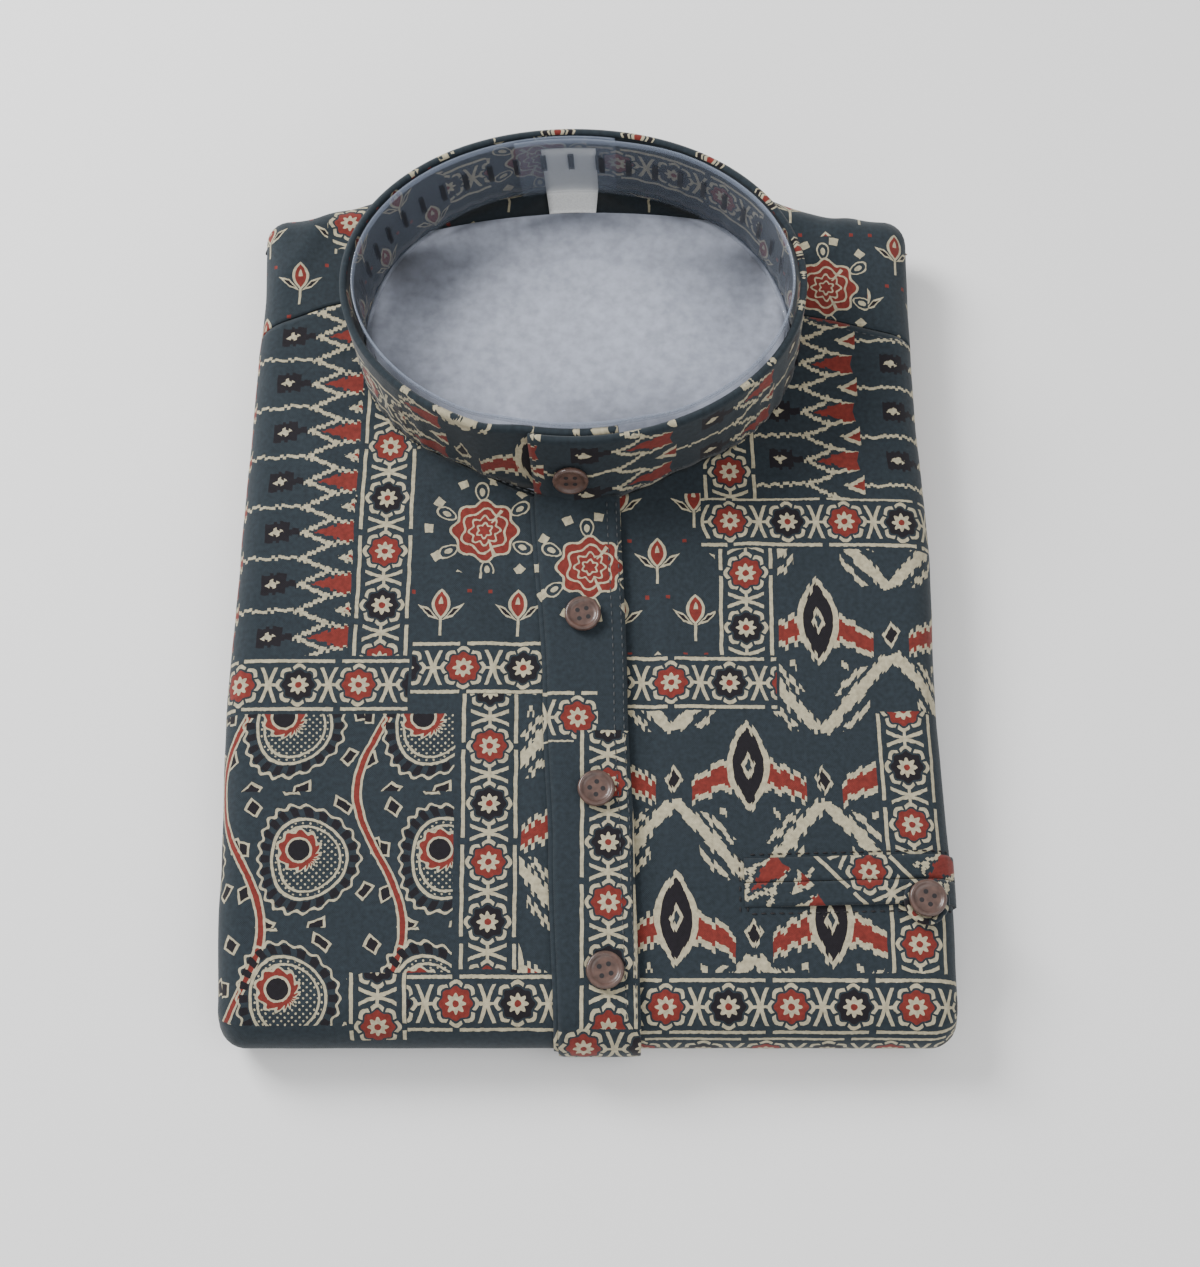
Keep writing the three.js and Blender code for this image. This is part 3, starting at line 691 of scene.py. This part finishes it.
def emboss(shader: bpy.types.Node, height: Field, strength: float, distance: float) -> None:
    """Gives a shader fine relief from a height, with its distance in metres."""
    bump = height.tree.nodes.new("ShaderNodeBump")
    bump.inputs["Strength"].default_value = strength
    bump.inputs["Distance"].default_value = distance
    height.tree.links.new(height.socket, bump.inputs["Height"])
    height.tree.links.new(bump.outputs["Normal"], shader.inputs["Normal"])


def cloth_point(tree: bpy.types.NodeTree) -> tuple[bpy.types.NodeSocket, Field, Field]:
    """Returns the cloth map's socket and its two coordinates in millimetres."""
    source = tree.nodes.new("ShaderNodeUVMap")
    source.uv_map = CLOTH_MAP
    split = tree.nodes.new("ShaderNodeSeparateXYZ")
    tree.links.new(source.outputs["UV"], split.inputs["Vector"])
    u, v = (Field(tree, split.outputs[axis]) * (1 / METRE) for axis in "XY")
    return source.outputs["UV"], u, v


@dataclass
class Finish:
    """A plain finish: one colour with a fine grain."""

    name: str
    colour: Colour
    roughness: float = 0.8
    grain: float = 0.25
    grain_size: float = 900.0
    coat: float = 0.0
    bump: float = 0.2

    def build(self) -> bpy.types.Material:
        """Makes the material, with its grain on Object coordinates."""
        settings = {"Roughness": self.roughness, "Coat Weight": self.coat}
        material, tree, shader = new_material(self.name, settings)
        place = tree.nodes.new("ShaderNodeTexCoord")
        grain = noise(place.outputs["Object"], self.grain_size, 4)
        ramp = tree.nodes.new("ShaderNodeValToRGB")
        ramp.color_ramp.elements[0].position, ramp.color_ramp.elements[1].position = 0.3, 0.7
        for element, share in zip(ramp.color_ramp.elements, (1 - self.grain, 1 + self.grain)):
            element.color = (*(channel * share for channel in self.colour), 1)
        tree.links.new(grain.socket, ramp.inputs["Fac"])
        tree.links.new(ramp.outputs["Color"], shader.inputs["Base Color"])
        emboss(shader, grain, self.bump, 0.0002)
        return material


@dataclass
class PrintShop:
    """Prints patchwork cottons, which share one node group for each motif."""

    wobble: float = 0.9
    tooth_width: float = 1.1
    shared: dict[str, bpy.types.NodeTree] = field(default_factory=dict)

    def motif(self, name: str, motif: Motif) -> bpy.types.NodeTree:
        """Returns a motif's node group, made when it is first wanted."""
        if name not in self.shared:
            self.shared[name] = motif_group(name, motif)
        return self.shared[name]

    def ink(self, u: Field, v: Field, patches: Sequence[Patch]) -> Field:
        """Returns the ink number of a patchwork at a cloth point."""
        column = (u / self.tooth_width).math("FLOOR")
        tooth = column.tree.nodes.new("ShaderNodeTexWhiteNoise")
        tooth.noise_dimensions = "1D"
        column.tree.links.new(column.socket, tooth.inputs["W"])
        ragged = Field(column.tree, tooth.outputs["Value"]) - 0.5
        kind: Field | float = float(Kind.PLAIN)
        x0: Field | float = 0.0
        y0: Field | float = 0.0
        for patch in patches:
            inside = patch.holds(u, v)
            kind = paint(kind, inside, float(patch.kind))
            x0 = paint(x0, inside, patch.origin[0])
            y0 = paint(y0, inside, patch.origin[1])
        x, y = u - x0, v - y0
        used = {patch.kind for patch in patches}
        level = kind.near(float(Kind.LEVEL), SAME_KIND)
        border = level + kind.near(float(Kind.UPRIGHT), SAME_KIND)
        along, across = paint(y, level, x), paint(x, level, y)
        roses_in_line = use_group(self.motif("RosetteBorder", rosettes), along, across)
        ink = paint(Ink.GROUND, border, roses_in_line)
        for name, motif in MOTIFS.items():
            if name in used:
                rise = y + ragged * TEETH[name] if name in TEETH else y
                drawn = use_group(self.motif(name.name.title(), motif), x, rise)
                ink = paint(ink, kind.near(float(name), SAME_KIND), drawn)
        return ink

    def cotton(
        self, name: str, patches: Sequence[Patch], shade: float = 1.0
    ) -> bpy.types.Material:
        """Makes a printed cotton.

        Args:
            name: the material's name.
            patches: its patches, each over the ones before it.
            shade: how much of the inks' brightness is left, less than 1 for painted shade inside
                the collar.

        Returns:
            The material.
        """
        settings = {"Roughness": 0.9, "Specular IOR Level": 0.25, "Sheen Weight": 0.12}
        material, tree, shader = new_material(name, settings)
        place, across, up = cloth_point(tree)
        mottle = noise(place, 620.0)
        u = across + (noise(place, 160.0) - 0.5) * self.wobble
        v = up + (mottle - 0.5) * self.wobble
        number = self.ink(u, v, patches) / len(Ink) + 0.5 / len(Ink)
        ramp = tree.nodes.new("ShaderNodeValToRGB")
        ramp.color_ramp.interpolation = "CONSTANT"
        while len(ramp.color_ramp.elements) < len(Ink):
            ramp.color_ramp.elements.new(0.5)
        for element, ink in zip(ramp.color_ramp.elements, Ink):
            element.position = ink / len(Ink)
        # The inks are scaled by shade: painted shade for pieces that lie inside the collar.
        for element, ink in zip(ramp.color_ramp.elements, Ink):
            element.color = (*(channel * shade for channel in INKS[ink]), 1)
        tree.links.new(number.socket, ramp.inputs["Fac"])
        worn = (mottle - 0.5) * 1.1 + 1.0
        tint = tree.nodes.new("ShaderNodeVectorMath")
        tint.operation = "SCALE"
        tree.links.new(ramp.outputs["Color"], tint.inputs[0])
        tree.links.new(worn.socket, tint.inputs["Scale"])
        tree.links.new(tint.outputs[0], shader.inputs["Base Color"])
        warp, weft = ((side * (TURN / THREAD_PITCH)).math("SINE") for side in (across, up))
        emboss(shader, warp * weft + mottle * 2.0, 0.35, 0.0001)
        return material


@dataclass
class ClearFilm:
    """The finish of the clear collar strip: a hazy bluish film, its slots painted dark as painted
    shade and its rim band drawn more opaque as a painted highlight.
    """

    name: str = "clear_film"
    colour: Colour = (0.30, 0.35, 0.45)
    alpha: float = 0.10
    slot_pitch: float = 9.4

    def build(self) -> bpy.types.Material:
        """Makes the material, with its slots on the piece's cloth coordinates."""
        settings = {"Roughness": 0.18, "Coat Weight": 0.3}
        material, tree, shader = new_material(self.name, settings)
        _, u, v = cloth_point(tree)
        # Painted shade: the slots, holes in the real strip, are painted near black instead of
        # being cut.
        slot = (abs(u.repeat(self.slot_pitch)) < 1.0) * v.near(17.0, 4.2) * (u < -230.0)
        # Painted highlight: the strip's top band is drawn more opaque, a lighter line along its
        # rim.
        rim = v > 30.2
        colour = tree.nodes.new("ShaderNodeMix")
        colour.data_type = "RGBA"
        colour.inputs[6].default_value = (*self.colour, 1)
        # Near black for the slots: painted shade.
        colour.inputs[7].default_value = (0.01, 0.01, 0.012, 1)
        tree.links.new(slot.socket, colour.inputs[0])
        tree.links.new(colour.outputs[2], shader.inputs["Base Color"])
        # The slots take most of their opacity here, as painted shade, and the rim band some, as a
        # painted highlight.
        seen = (slot * 0.7 + rim * 0.35 + self.alpha).math("MINIMUM", 1.0)
        tree.links.new(seen.socket, shader.inputs["Alpha"])
        return material


def finish_mesh(
    name: str,
    build: bmesh.types.BMesh,
    materials: Sequence[bpy.types.Material],
    cloth: Callable[[Point, Point], tuple[float, float]] | None = None,
    smooth: bool = True,
) -> bpy.types.Object:
    """Scales a bmesh to metres and makes it an object with its materials.

    Args:
        name: the object's name.
        build: the mesh, in millimetres, freed here.
        materials: its materials.
        cloth: gives the cloth coordinates of a place and its normal, where no map exists yet.
        smooth: whether its faces are shaded smooth.

    Returns:
        The linked object.
    """
    build.normal_update()
    if cloth is not None:
        layer = build.loops.layers.uv.new(CLOTH_MAP)
        for face in build.faces:
            for loop in face.loops:
                u, v = cloth(loop.vert.co, loop.vert.normal)
                loop[layer].uv = (u * METRE, v * METRE)
    for face in build.faces:
        face.smooth = smooth
    bmesh.ops.scale(build, vec=(METRE, METRE, METRE), verts=build.verts)
    mesh = bpy.data.meshes.new(name)
    build.to_mesh(mesh)
    build.free()
    for material in materials:
        mesh.materials.append(material)
    piece = bpy.data.objects.new(f"{name}_look", mesh)
    bpy.context.scene.collection.objects.link(piece)
    return piece


def thicken(piece: bpy.types.Object, thickness: float) -> None:
    """Gives a sheet its wall, grown to the side away from its faces."""
    wall = piece.modifiers.new("wall", "SOLIDIFY")
    wall.thickness = thickness * METRE
    wall.offset = -1
    wall.use_even_offset = False


def declare(piece: bpy.types.Object, slot: str, *nodes: str) -> bpy.types.Object:
    """Ties a piece to the frame: its body and the nodes that it stands for."""
    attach(piece, "root")
    if nodes:
        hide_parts(*nodes)
    log.info("%s: %d faces", piece.name, len(piece.data.polygons))
    return piece


def grid(
    columns: int, rows: int, place: Callable[[float, float], tuple[Point, tuple[float, float]]]
) -> bmesh.types.BMesh:
    """Makes a grid whose points and cloth coordinates come from two shares.

    Args:
        columns: how many faces it has across.
        rows: how many faces it has up.
        place: gives the point and the cloth coordinates at a share across and a share up.

    Returns:
        The mesh, in millimetres, with its cloth map.
    """
    build = bmesh.new()
    bmesh.ops.create_grid(
        build, x_segments=columns, y_segments=rows, size=0.5, calc_uvs=False
    )
    layer = build.loops.layers.uv.new(CLOTH_MAP)
    placed = {vert: place(vert.co.x + 0.5, vert.co.y + 0.5) for vert in build.verts}
    for face in build.faces:
        for loop in face.loops:
            loop[layer].uv = Vector(placed[loop.vert][1]) * METRE
    for vert, (point, _) in placed.items():
        vert.co = point
    return build


@dataclass
class Panel:
    """A front or yoke panel that lies over the stack and round its rolled edges."""

    name: str
    left: float
    right: float
    low: Callable[[float], float]
    high: Callable[[float], float]
    patches: Sequence[Patch]
    flat: tuple[float, float]
    area: float | None = None
    step: float = 2.0

    def build(self, shop: PrintShop) -> bpy.types.Object:
        """Lays the panel on the garment's form, cut round the neck."""
        tall = self.high(0) - self.low(0)

        def place(across: float, up: float) -> tuple[Point, tuple[float, float]]:
            u = lerp(self.left, self.right, across)
            v = lerp(self.low(u), self.high(u), up)
            return (u, v, 0.0), (u, v)

        columns = round((self.right - self.left) / self.step)
        build = grid(columns, max(round(abs(tall) / self.step), 30), place)
        inside = {vert for vert in build.verts if NECK.clearance(vert.co.x, vert.co.y) < 0}
        gone = [face for face in build.faces if all(vert in inside for vert in face.verts)]
        bmesh.ops.delete(build, geom=gone, context="FACES")
        for vert in build.verts:
            u, v = vert.co.x, vert.co.y
            if NECK.clearance(u, v) < 0:
                u, v = NECK.nearest(u, v)
            vert.co = GARMENT.skin(u, v, relief(u, v))
        piece = finish_mesh(self.name, build, [shop.cotton(self.name, self.patches)])
        thicken(piece, CLOTH)
        declare(piece, "print_cotton", self.name)
        area = sum(face.area for face in piece.data.polygons)
        log.info("%s: %.5f square metres", self.name, area)
        return piece


@dataclass
class PlacketBand:
    """The two front bands, of which the upper one covers all but a sliver of the lower."""

    sliver: float = 1.6
    wrap: float = 2.15
    top: float = 24.4
    under_lift: float = GAP + 1.0

    def strip(self, lift: float, shift: float, share: float) -> bmesh.types.BMesh:
        """Makes one band at a lift, moved sideways and narrowed to a share of its width."""
        bottom = GARMENT.flat_y - GARMENT.fold_roll * self.wrap

        def place(across: float, up: float) -> tuple[Point, tuple[float, float]]:
            v = lerp(bottom, self.top, up)
            left, right = edges(PLACKET, v)
            u = lerp(left, lerp(left, right, share), across) + shift
            edge = 0.35 * (1 - (2 * across - 1) ** 8)
            return GARMENT.skin(u, v, lift + edge - 0.35 + 0.5 * relief(u, v)), (u, v)

        return grid(16, 130, place)

    def build(self, shop: PrintShop) -> None:
        """Makes the upper and the lower band."""
        cotton = shop.cotton("placket_cotton", BAND_FRONT)
        upper = self.strip(self.under_lift + GAP + CLOTH, 0.0, 1.0)
        lower = self.strip(self.under_lift, -self.sliver, 0.9)
        for name, build in (("placket_band", upper), ("placket_under_band", lower)):
            piece = finish_mesh(name, build, [cotton])
            thicken(piece, CLOTH)
            declare(piece, "print_cotton", name)


@dataclass
class RingWall:
    """A standing wall that turns round the neck, such as the collar band or its clear strip."""

    name: str
    start: float
    end: float
    foot: float
    wall: float
    inset: Callable[[float], float]
    rim: Callable[[float], float]
    ripple: float = 0.0
    girth: float = 72.0
    columns: int = 300
    shares: tuple[float, ...] = (0, 0.12, 0.25, 0.4, 0.55, 0.7, 0.85, 0.94, 1)

    def profile(self) -> list[tuple[float, float]]:
        """Returns the (height share, depth share) points round the wall's section."""
        crown = [(1.02, 0.5)]
        inner = [(share, 1.0) for share in reversed(self.shares)]
        return [(share, 0.0) for share in self.shares] + crown + inner

    def build(
        self, materials: Sequence[bpy.types.Material], slot: str
    ) -> bpy.types.Object:
        """Sweeps the section round the neck, with the second material on the inner face."""
        section = self.profile()
        rows = len(section)
        inner_row = rows / 2

        def place(across: float, up: float) -> tuple[Point, tuple[float, float]]:
            angle = lerp(self.start, self.end, across)
            row = min(round(up * rows), rows)
            height, depth = section[row % rows]
            wave = self.ripple * math.sin(angle * 47 + 2 * math.sin(angle * 7)) * (1 - height)
            x, y = NECK.at(angle, height, self.inset(angle) + depth * self.wall + wave)
            z = lerp(self.foot, self.rim(angle), height)
            return (x, y, z), (angle * self.girth, height * BAND_HEIGHT)

        build = grid(self.columns, rows, place)
        layer = build.loops.layers.uv[CLOTH_MAP]
        for face in build.faces:
            heights = [loop[layer].uv.y for loop in face.loops]
            row = sum(loop.vert.index // (self.columns + 1) for loop in face.loops) / 4
            inner = row > inner_row
            face.material_index = int(inner and len(materials) > 1 and max(heights) > 0)
        bmesh.ops.remove_doubles(build, verts=build.verts, dist=1e-4)
        open_edges = [edge for edge in build.edges if edge.is_boundary]
        bmesh.ops.holes_fill(build, edges=open_edges, sides=0)
        bmesh.ops.recalc_face_normals(build, faces=build.faces)
        piece = finish_mesh(self.name, build, materials)
        return declare(piece, slot, self.name)


def collar_band(shop: PrintShop) -> bpy.types.Object:
    """Makes the stand collar's band, its upper end lapped over the lower one at the front."""
    # The band's inside is printed at 0.6 of the inks' brightness, as painted shade.
    return RingWall(
        name="collar_band",
        start=0.2,
        end=-0.19 - TURN,
        foot=BAND_FOOT,
        wall=BAND_WALL,
        inset=lambda angle: 2.8 * (1 - smoothstep(0.2, 0.42, -angle)),
        rim=lambda angle: BAND_FOOT + BAND_HEIGHT - 1.2 * math.cos(angle) ** 8,
        ripple=0.35,
    ).build([shop.cotton("collar_outside", COLLAR), shop.cotton("collar_inside", LINING, 0.6)],
            "print_cotton")


def collar_support() -> bpy.types.Object:
    """Makes the clear strip that stands inside the band, its ends lapped at the front."""

    def inset(angle: float) -> float:
        front = abs(math.atan2(math.sin(angle), math.cos(angle)))
        lean = lerp(3.3, 1.8, smoothstep(0.25, 0.5, front))
        return BAND_WALL + lean + 1.1 * (1 - smoothstep(3.3, 3.7, -angle))

    return RingWall(
        name="collar_support",
        start=-2.86,
        end=-3.33 - TURN,
        foot=26.0,
        wall=0.8,
        inset=inset,
        rim=lambda angle: 57.5 + 1.6 * math.sin(angle) ** 2,
    ).build([ClearFilm().build()], "clear_strip")


def planar(place: Point, normal: Point) -> tuple[float, float]:
    """Returns cloth coordinates that unroll a stack's upright edges outwards."""
    fall = GARMENT.stack_height - place[2]
    return place[0] + normal[0] * fall, place[1] + normal[1] * fall


def bias(place: Point, normal: Point) -> tuple[float, float]:
    """Returns cloth coordinates turned by 45 degrees, as on a strip cut on the bias."""
    half = math.sqrt(0.5)
    return (place[0] + place[1]) * half, (place[1] - place[0]) * half


@dataclass
class Dressed:
    """A piece that keeps its node's form, made finer."""

    node: str
    slot: str
    material: bpy.types.Material
    cuts: int = 1
    cloth: Callable[[Point, Point], tuple[float, float]] = planar
    flat: tuple[float, float] | None = None
    area: float | None = None
    held: str = "folded"

    def build(self) -> bpy.types.Object:
        """Copies the node's form, divides its faces and dresses it."""
        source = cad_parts[self.node]
        build = bmesh.new()
        build.from_mesh(source.data)
        build.transform(source.matrix_world)
        bmesh.ops.scale(build, vec=(1 / METRE,) * 3, verts=build.verts)
        bmesh.ops.remove_doubles(build, verts=build.verts, dist=1e-3)
        if self.cuts:
            bmesh.ops.subdivide_edges(
                build, edges=build.edges, cuts=self.cuts, use_grid_fill=True, smooth=0.0
            )
        piece = finish_mesh(self.node, build, [self.material], self.cloth)
        log.info("%s: %.5f", self.node, sum(face.area for face in piece.data.polygons) / 2)
        return declare(piece, self.slot, self.node)


@dataclass
class Button:
    """A turned coconut button with a raised rim and four holes, which are dark discs of painted
    shade; the thread through them is not made.
    """

    radius: float = 6.2
    height: float = 2.6
    hole_reach: float = 1.55
    hole_radius: float = 0.8
    turns: int = 64

    def profile(self) -> list[tuple[float, float]]:
        """Returns the (radius, height) points of the turned section, from below to the top."""
        r, h = self.radius, self.height
        return [
            (0.0, 0.0), (r * 0.72, 0.0), (r * 0.9, h * 0.14), (r * 0.985, h * 0.4), (r, h * 0.62),
            (r * 0.975, h * 0.85), (r * 0.92, h * 0.97), (r * 0.86, h), (r * 0.80, h * 0.95),
            (r * 0.74, h * 0.80), (r * 0.68, h * 0.70), (r * 0.55, h * 0.67), (r * 0.3, h * 0.66),
            (0.0, h * 0.66),
        ]

    def turned(self) -> bmesh.types.BMesh:
        """Turns the section into a closed button round the Z axis."""
        build = bmesh.new()
        points = [build.verts.new((radius, 0, height)) for radius, height in self.profile()]
        spine = [build.edges.new(pair) for pair in zip(points, points[1:])]
        bmesh.ops.spin(
            build, geom=points + spine, axis=(0, 0, 1), cent=(0, 0, 0), dvec=(0, 0, 0),
            angle=TURN, steps=self.turns, use_merge=True,
        )
        bmesh.ops.remove_doubles(build, verts=build.verts, dist=1e-4)
        bmesh.ops.recalc_face_normals(build, faces=build.faces)
        return build

    def disc(
        self, build: bmesh.types.BMesh, centre: Vector, radius: float, low: float, high: float
    ) -> None:
        """Adds an upright cylinder to a mesh."""
        middle = Matrix.Translation((centre.x, centre.y, (low + high) / 2))
        bmesh.ops.create_cone(
            build, cap_ends=True, segments=20, radius1=radius, radius2=radius,
            depth=high - low, matrix=middle,
        )

    def holes(self) -> list[Vector]:
        """Returns the centres of the four holes."""
        reach = self.hole_reach
        return [Vector((x * reach, y * reach, 0)) for x in (-1, 1) for y in (-1, 1)]

    def place(self, node: str) -> Matrix:
        """Returns the matrix from the button's own axes to its node's place."""
        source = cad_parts[node]
        corners = [source.matrix_world @ vert.co for vert in source.data.vertices]
        points = numpy.array(corners) / METRE
        middle = (points.max(axis=0) + points.min(axis=0)) / 2
        axis = Vector(numpy.linalg.svd(points - points.mean(axis=0), full_matrices=False)[2][2])
        if axis.z < 0:
            axis.negate()
        reach = (points - middle) @ numpy.array(axis)
        foot = Vector(middle) + axis * float(reach.min())
        return Matrix.Translation(foot) @ axis.to_track_quat("Z", "Y").to_matrix().to_4x4()

    def build(self, node: str, wood: bpy.types.Material, dark: bpy.types.Material) -> None:
        """Makes the button of one node, with a dark disc of painted shade in each of its four
        holes.
        """
        place = self.place(node)
        body = self.turned()
        body.transform(place)
        piece = finish_mesh(node, body, [wood], planar)
        declare(piece, "coconut_wood", node)
        fill = bmesh.new()
        top = self.height * 0.66
        # Painted shade: a dark disc sits in each hole, flush with the button's face.
        for centre in self.holes():
            self.disc(fill, centre, self.hole_radius, top - 0.4, top + 0.05)
        fill.transform(place)
        holes = finish_mesh(f"{node}_thread", fill, [dark], planar, smooth=False)
        declare(holes, "coconut_wood")


@dataclass
class Stitches:
    """Rows of short machine stitches, each a small rounded bar on the cloth."""

    name: str
    paths: Sequence[Callable[[float], Point]]
    lengths: Sequence[float]
    pitch: float = 2.9
    bar: float = 2.0
    radius: float = 0.28

    def build(self, thread: bpy.types.Material) -> bpy.types.Object:
        """Lays the bars along their paths."""
        build = bmesh.new()
        for path, length in zip(self.paths, self.lengths):
            count = int(length / self.pitch)
            for index in range(count):
                share = (index + 0.5) / count
                here = Vector(path(share))
                ahead = Vector(path(share + 0.4 / count)) - here
                turn = ahead.to_track_quat("X", "Z").to_matrix().to_4x4()
                shape = Matrix.Diagonal((self.bar / 2, self.radius, self.radius, 1))
                bmesh.ops.create_icosphere(
                    build, subdivisions=1, radius=1.0,
                    matrix=Matrix.Translation(here) @ turn @ shape,
                )
        piece = finish_mesh(self.name, build, [thread], planar)
        return declare(piece, "print_cotton")


def placket_row(offset: float) -> Callable[[float], Point]:
    """Returns the path of an edge-stitch row along the placket's right edge."""

    def path(share: float) -> Point:
        v = lerp(-158, 22, share)
        u = edges(PLACKET, v)[1] - offset
        return GARMENT.skin(u, v, 2.85 + 0.5 * relief(u, v))

    return path


def seam_row(
    start: tuple[float, float], end: tuple[float, float], lift: float
) -> Callable[[float], Point]:
    """Returns the path of a straight stitch row on the cloth."""

    def path(share: float) -> Point:
        u, v = lerp(start[0], end[0], share), lerp(start[1], end[1], share)
        return GARMENT.skin(u, v, lift + relief(u, v))

    return path


def band_row(share: float) -> Point:
    """Returns a point of the topstitch round the band's foot, from left to right."""
    angle = lerp(-1.45, 1.35, share)
    x, y = NECK.at(angle, 0.09, -0.15)
    return x, y, 27.6


def light(name: str, place: Point, size: float, power: float, target: Point = (0, 0, 0)) -> None:
    """Adds a soft square light that faces a target, with places in metres."""
    lamp = bpy.data.lights.new(name, "AREA")
    lamp.size = size
    lamp.energy = power
    holder = bpy.data.objects.new(name, lamp)
    holder.location = place
    holder.rotation_euler = (Vector(target) - Vector(place)).to_track_quat("-Z", "Y").to_euler()
    bpy.context.scene.collection.objects.link(holder)


@dataclass
class Studio:
    """The pale floor, soft light and camera."""

    elevation: float = math.radians(69)
    distance: float = 723.4
    target: Point = (4.83, -26.5, 26.0)
    lens: float = 60.2

    def build(self) -> None:
        """Sets the floor, lights, world and camera."""
        build = bmesh.new()
        bmesh.ops.create_grid(build, x_segments=1, y_segments=1, size=1500)
        bmesh.ops.translate(build, vec=(0, 0, -0.2), verts=build.verts)
        paper = Finish("studio_floor", (0.93, 0.93, 0.93), roughness=0.9, grain=0.0, bump=0.0)
        floor = finish_mesh("studio_floor", build, [paper.build()], smooth=False)
        light("key", (-1.0, 0.75, 0.95), 0.7, 34)
        light("fill", (0.9, -0.5, 1.2), 1.2, 8)
        light("front", (0.0, -1.2, 0.9), 1.2, 5)
        world = bpy.data.worlds.new("studio")
        bpy.context.scene.world = world
        world.use_nodes = True
        world.node_tree.nodes["Background"].inputs["Color"].default_value = (1, 1, 1, 1)
        world.node_tree.nodes["Background"].inputs["Strength"].default_value = 0.62
        sight = Vector((0, math.cos(self.elevation), -math.sin(self.elevation)))
        camera = bpy.data.cameras.new("camera")
        camera.sensor_fit = "VERTICAL"
        camera.sensor_height = 36
        camera.lens = self.lens
        holder = bpy.data.objects.new("camera", camera)
        holder.location = (Vector(self.target) - sight * self.distance) * METRE
        holder.rotation_euler = sight.to_track_quat("-Z", "Y").to_euler()
        bpy.context.scene.collection.objects.link(holder)
        bpy.context.scene.camera = holder


def main() -> None:
    """Builds every piece of the garment, then its studio."""
    logging.basicConfig(level=logging.INFO)
    shop = PrintShop()
    side_end = GARMENT.flat_x + GARMENT.side_roll * SIDE_WRAP
    fold_end = GARMENT.flat_y - GARMENT.fold_roll * FOLD_WRAP
    seam_gap = 2 * GAP
    for panel in (
        Panel("front_right", -side_end, 4.0, lambda u: fold_end,
              lambda u: yoke_seam(u) - seam_gap, LEFT_FRONT, (0.1325, 0.285)),
        Panel("front_left", 4.6, side_end, lambda u: fold_end,
              lambda u: yoke_seam(u) - seam_gap, RIGHT_FRONT, (0.124, 0.285)),
        Panel("yoke", -side_end, side_end, yoke_seam,
              lambda u: GARMENT.shoulder_line(u) + GARMENT.shoulder_roll * SHOULDER_WRAP,
              YOKE, (0.256, 0.08), 0.0115),
    ):
        panel.build(shop)
    PlacketBand().build(shop)
    collar_band(shop)
    collar_support()
    layers = shop.cotton("layer_cotton", (*LEFT_FRONT, *RIGHT_FRONT))
    sheet = Finish("packing_fibre", (0.34, 0.365, 0.44), 0.85, 0.16, 260.0).build()
    tape = Finish("white_twill", (0.72, 0.73, 0.73), 0.8, 0.1, 1500.0, bump=0.5).build()
    wood = Finish("coconut", (0.085, 0.047, 0.037), 0.38, 0.35, 420.0, coat=0.25).build()
    # Dark thread for the pocket stitches; the button holes use it as painted shade.
    dark = Finish("dark_thread", (0.012, 0.010, 0.012), 0.8, 0.1).build()
    # The yoke's inside is printed at 0.75 of the inks' brightness, as painted shade within the
    # collar.
    inside = shop.cotton("inside_yoke", LINING, 0.75)
    bias_cotton = shop.cotton("bias_cotton", BIAS)
    for piece in (
        Dressed("folded_layers", "print_cotton_layers", layers),
        Dressed("packing_sheet", "packing_sheet", sheet, flat=(0.154, 0.118), area=0.0143,
                held="laid"),
        Dressed("back_yoke_inside", "print_cotton", inside, flat=(0.154, 0.129), area=0.0152),
        Dressed("neck_label", "white_tape", tape, flat=(0.0208, 0.035)),
        Dressed("pocket_welt_upper", "print_cotton", bias_cotton, 2, bias, (0.0706, 0.0103)),
        Dressed("pocket_welt_lower", "print_cotton", bias_cotton, 2, bias, (0.0705, 0.0102)),
        Dressed("pocket_loop", "print_cotton", bias_cotton, 2, bias),
    ):
        piece.build()
    button = Button()
    for name in sorted(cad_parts):
        if name.startswith("button"):
            button.build(name, wood, dark)
    thread = Finish("seam_thread", (0.05, 0.055, 0.06), 0.7, 0.1).build()
    Stitches("placket_stitches", (placket_row(1.4), placket_row(4.6)), (180, 180)).build(thread)
    Stitches("band_stitches", (band_row,), (250,)).build(thread)
    Stitches(
        "pocket_stitches",
        (seam_row((53, -104), (121, -102), 0.1), seam_row((53, -124), (121, -122), 0.1),
         seam_row((50, -124), (50, -104), 0.1), seam_row((52.4, -124), (52.4, -104), 0.1)),
        (68, 68, 20, 20), radius=0.34,
    ).build(dark)
    Stitches("yoke_stitches", (seam_row((80, 95), (121, 85.5), 0.1),), (42,)).build(thread)
    Studio().build()


if __name__ == "__main__":
    main()
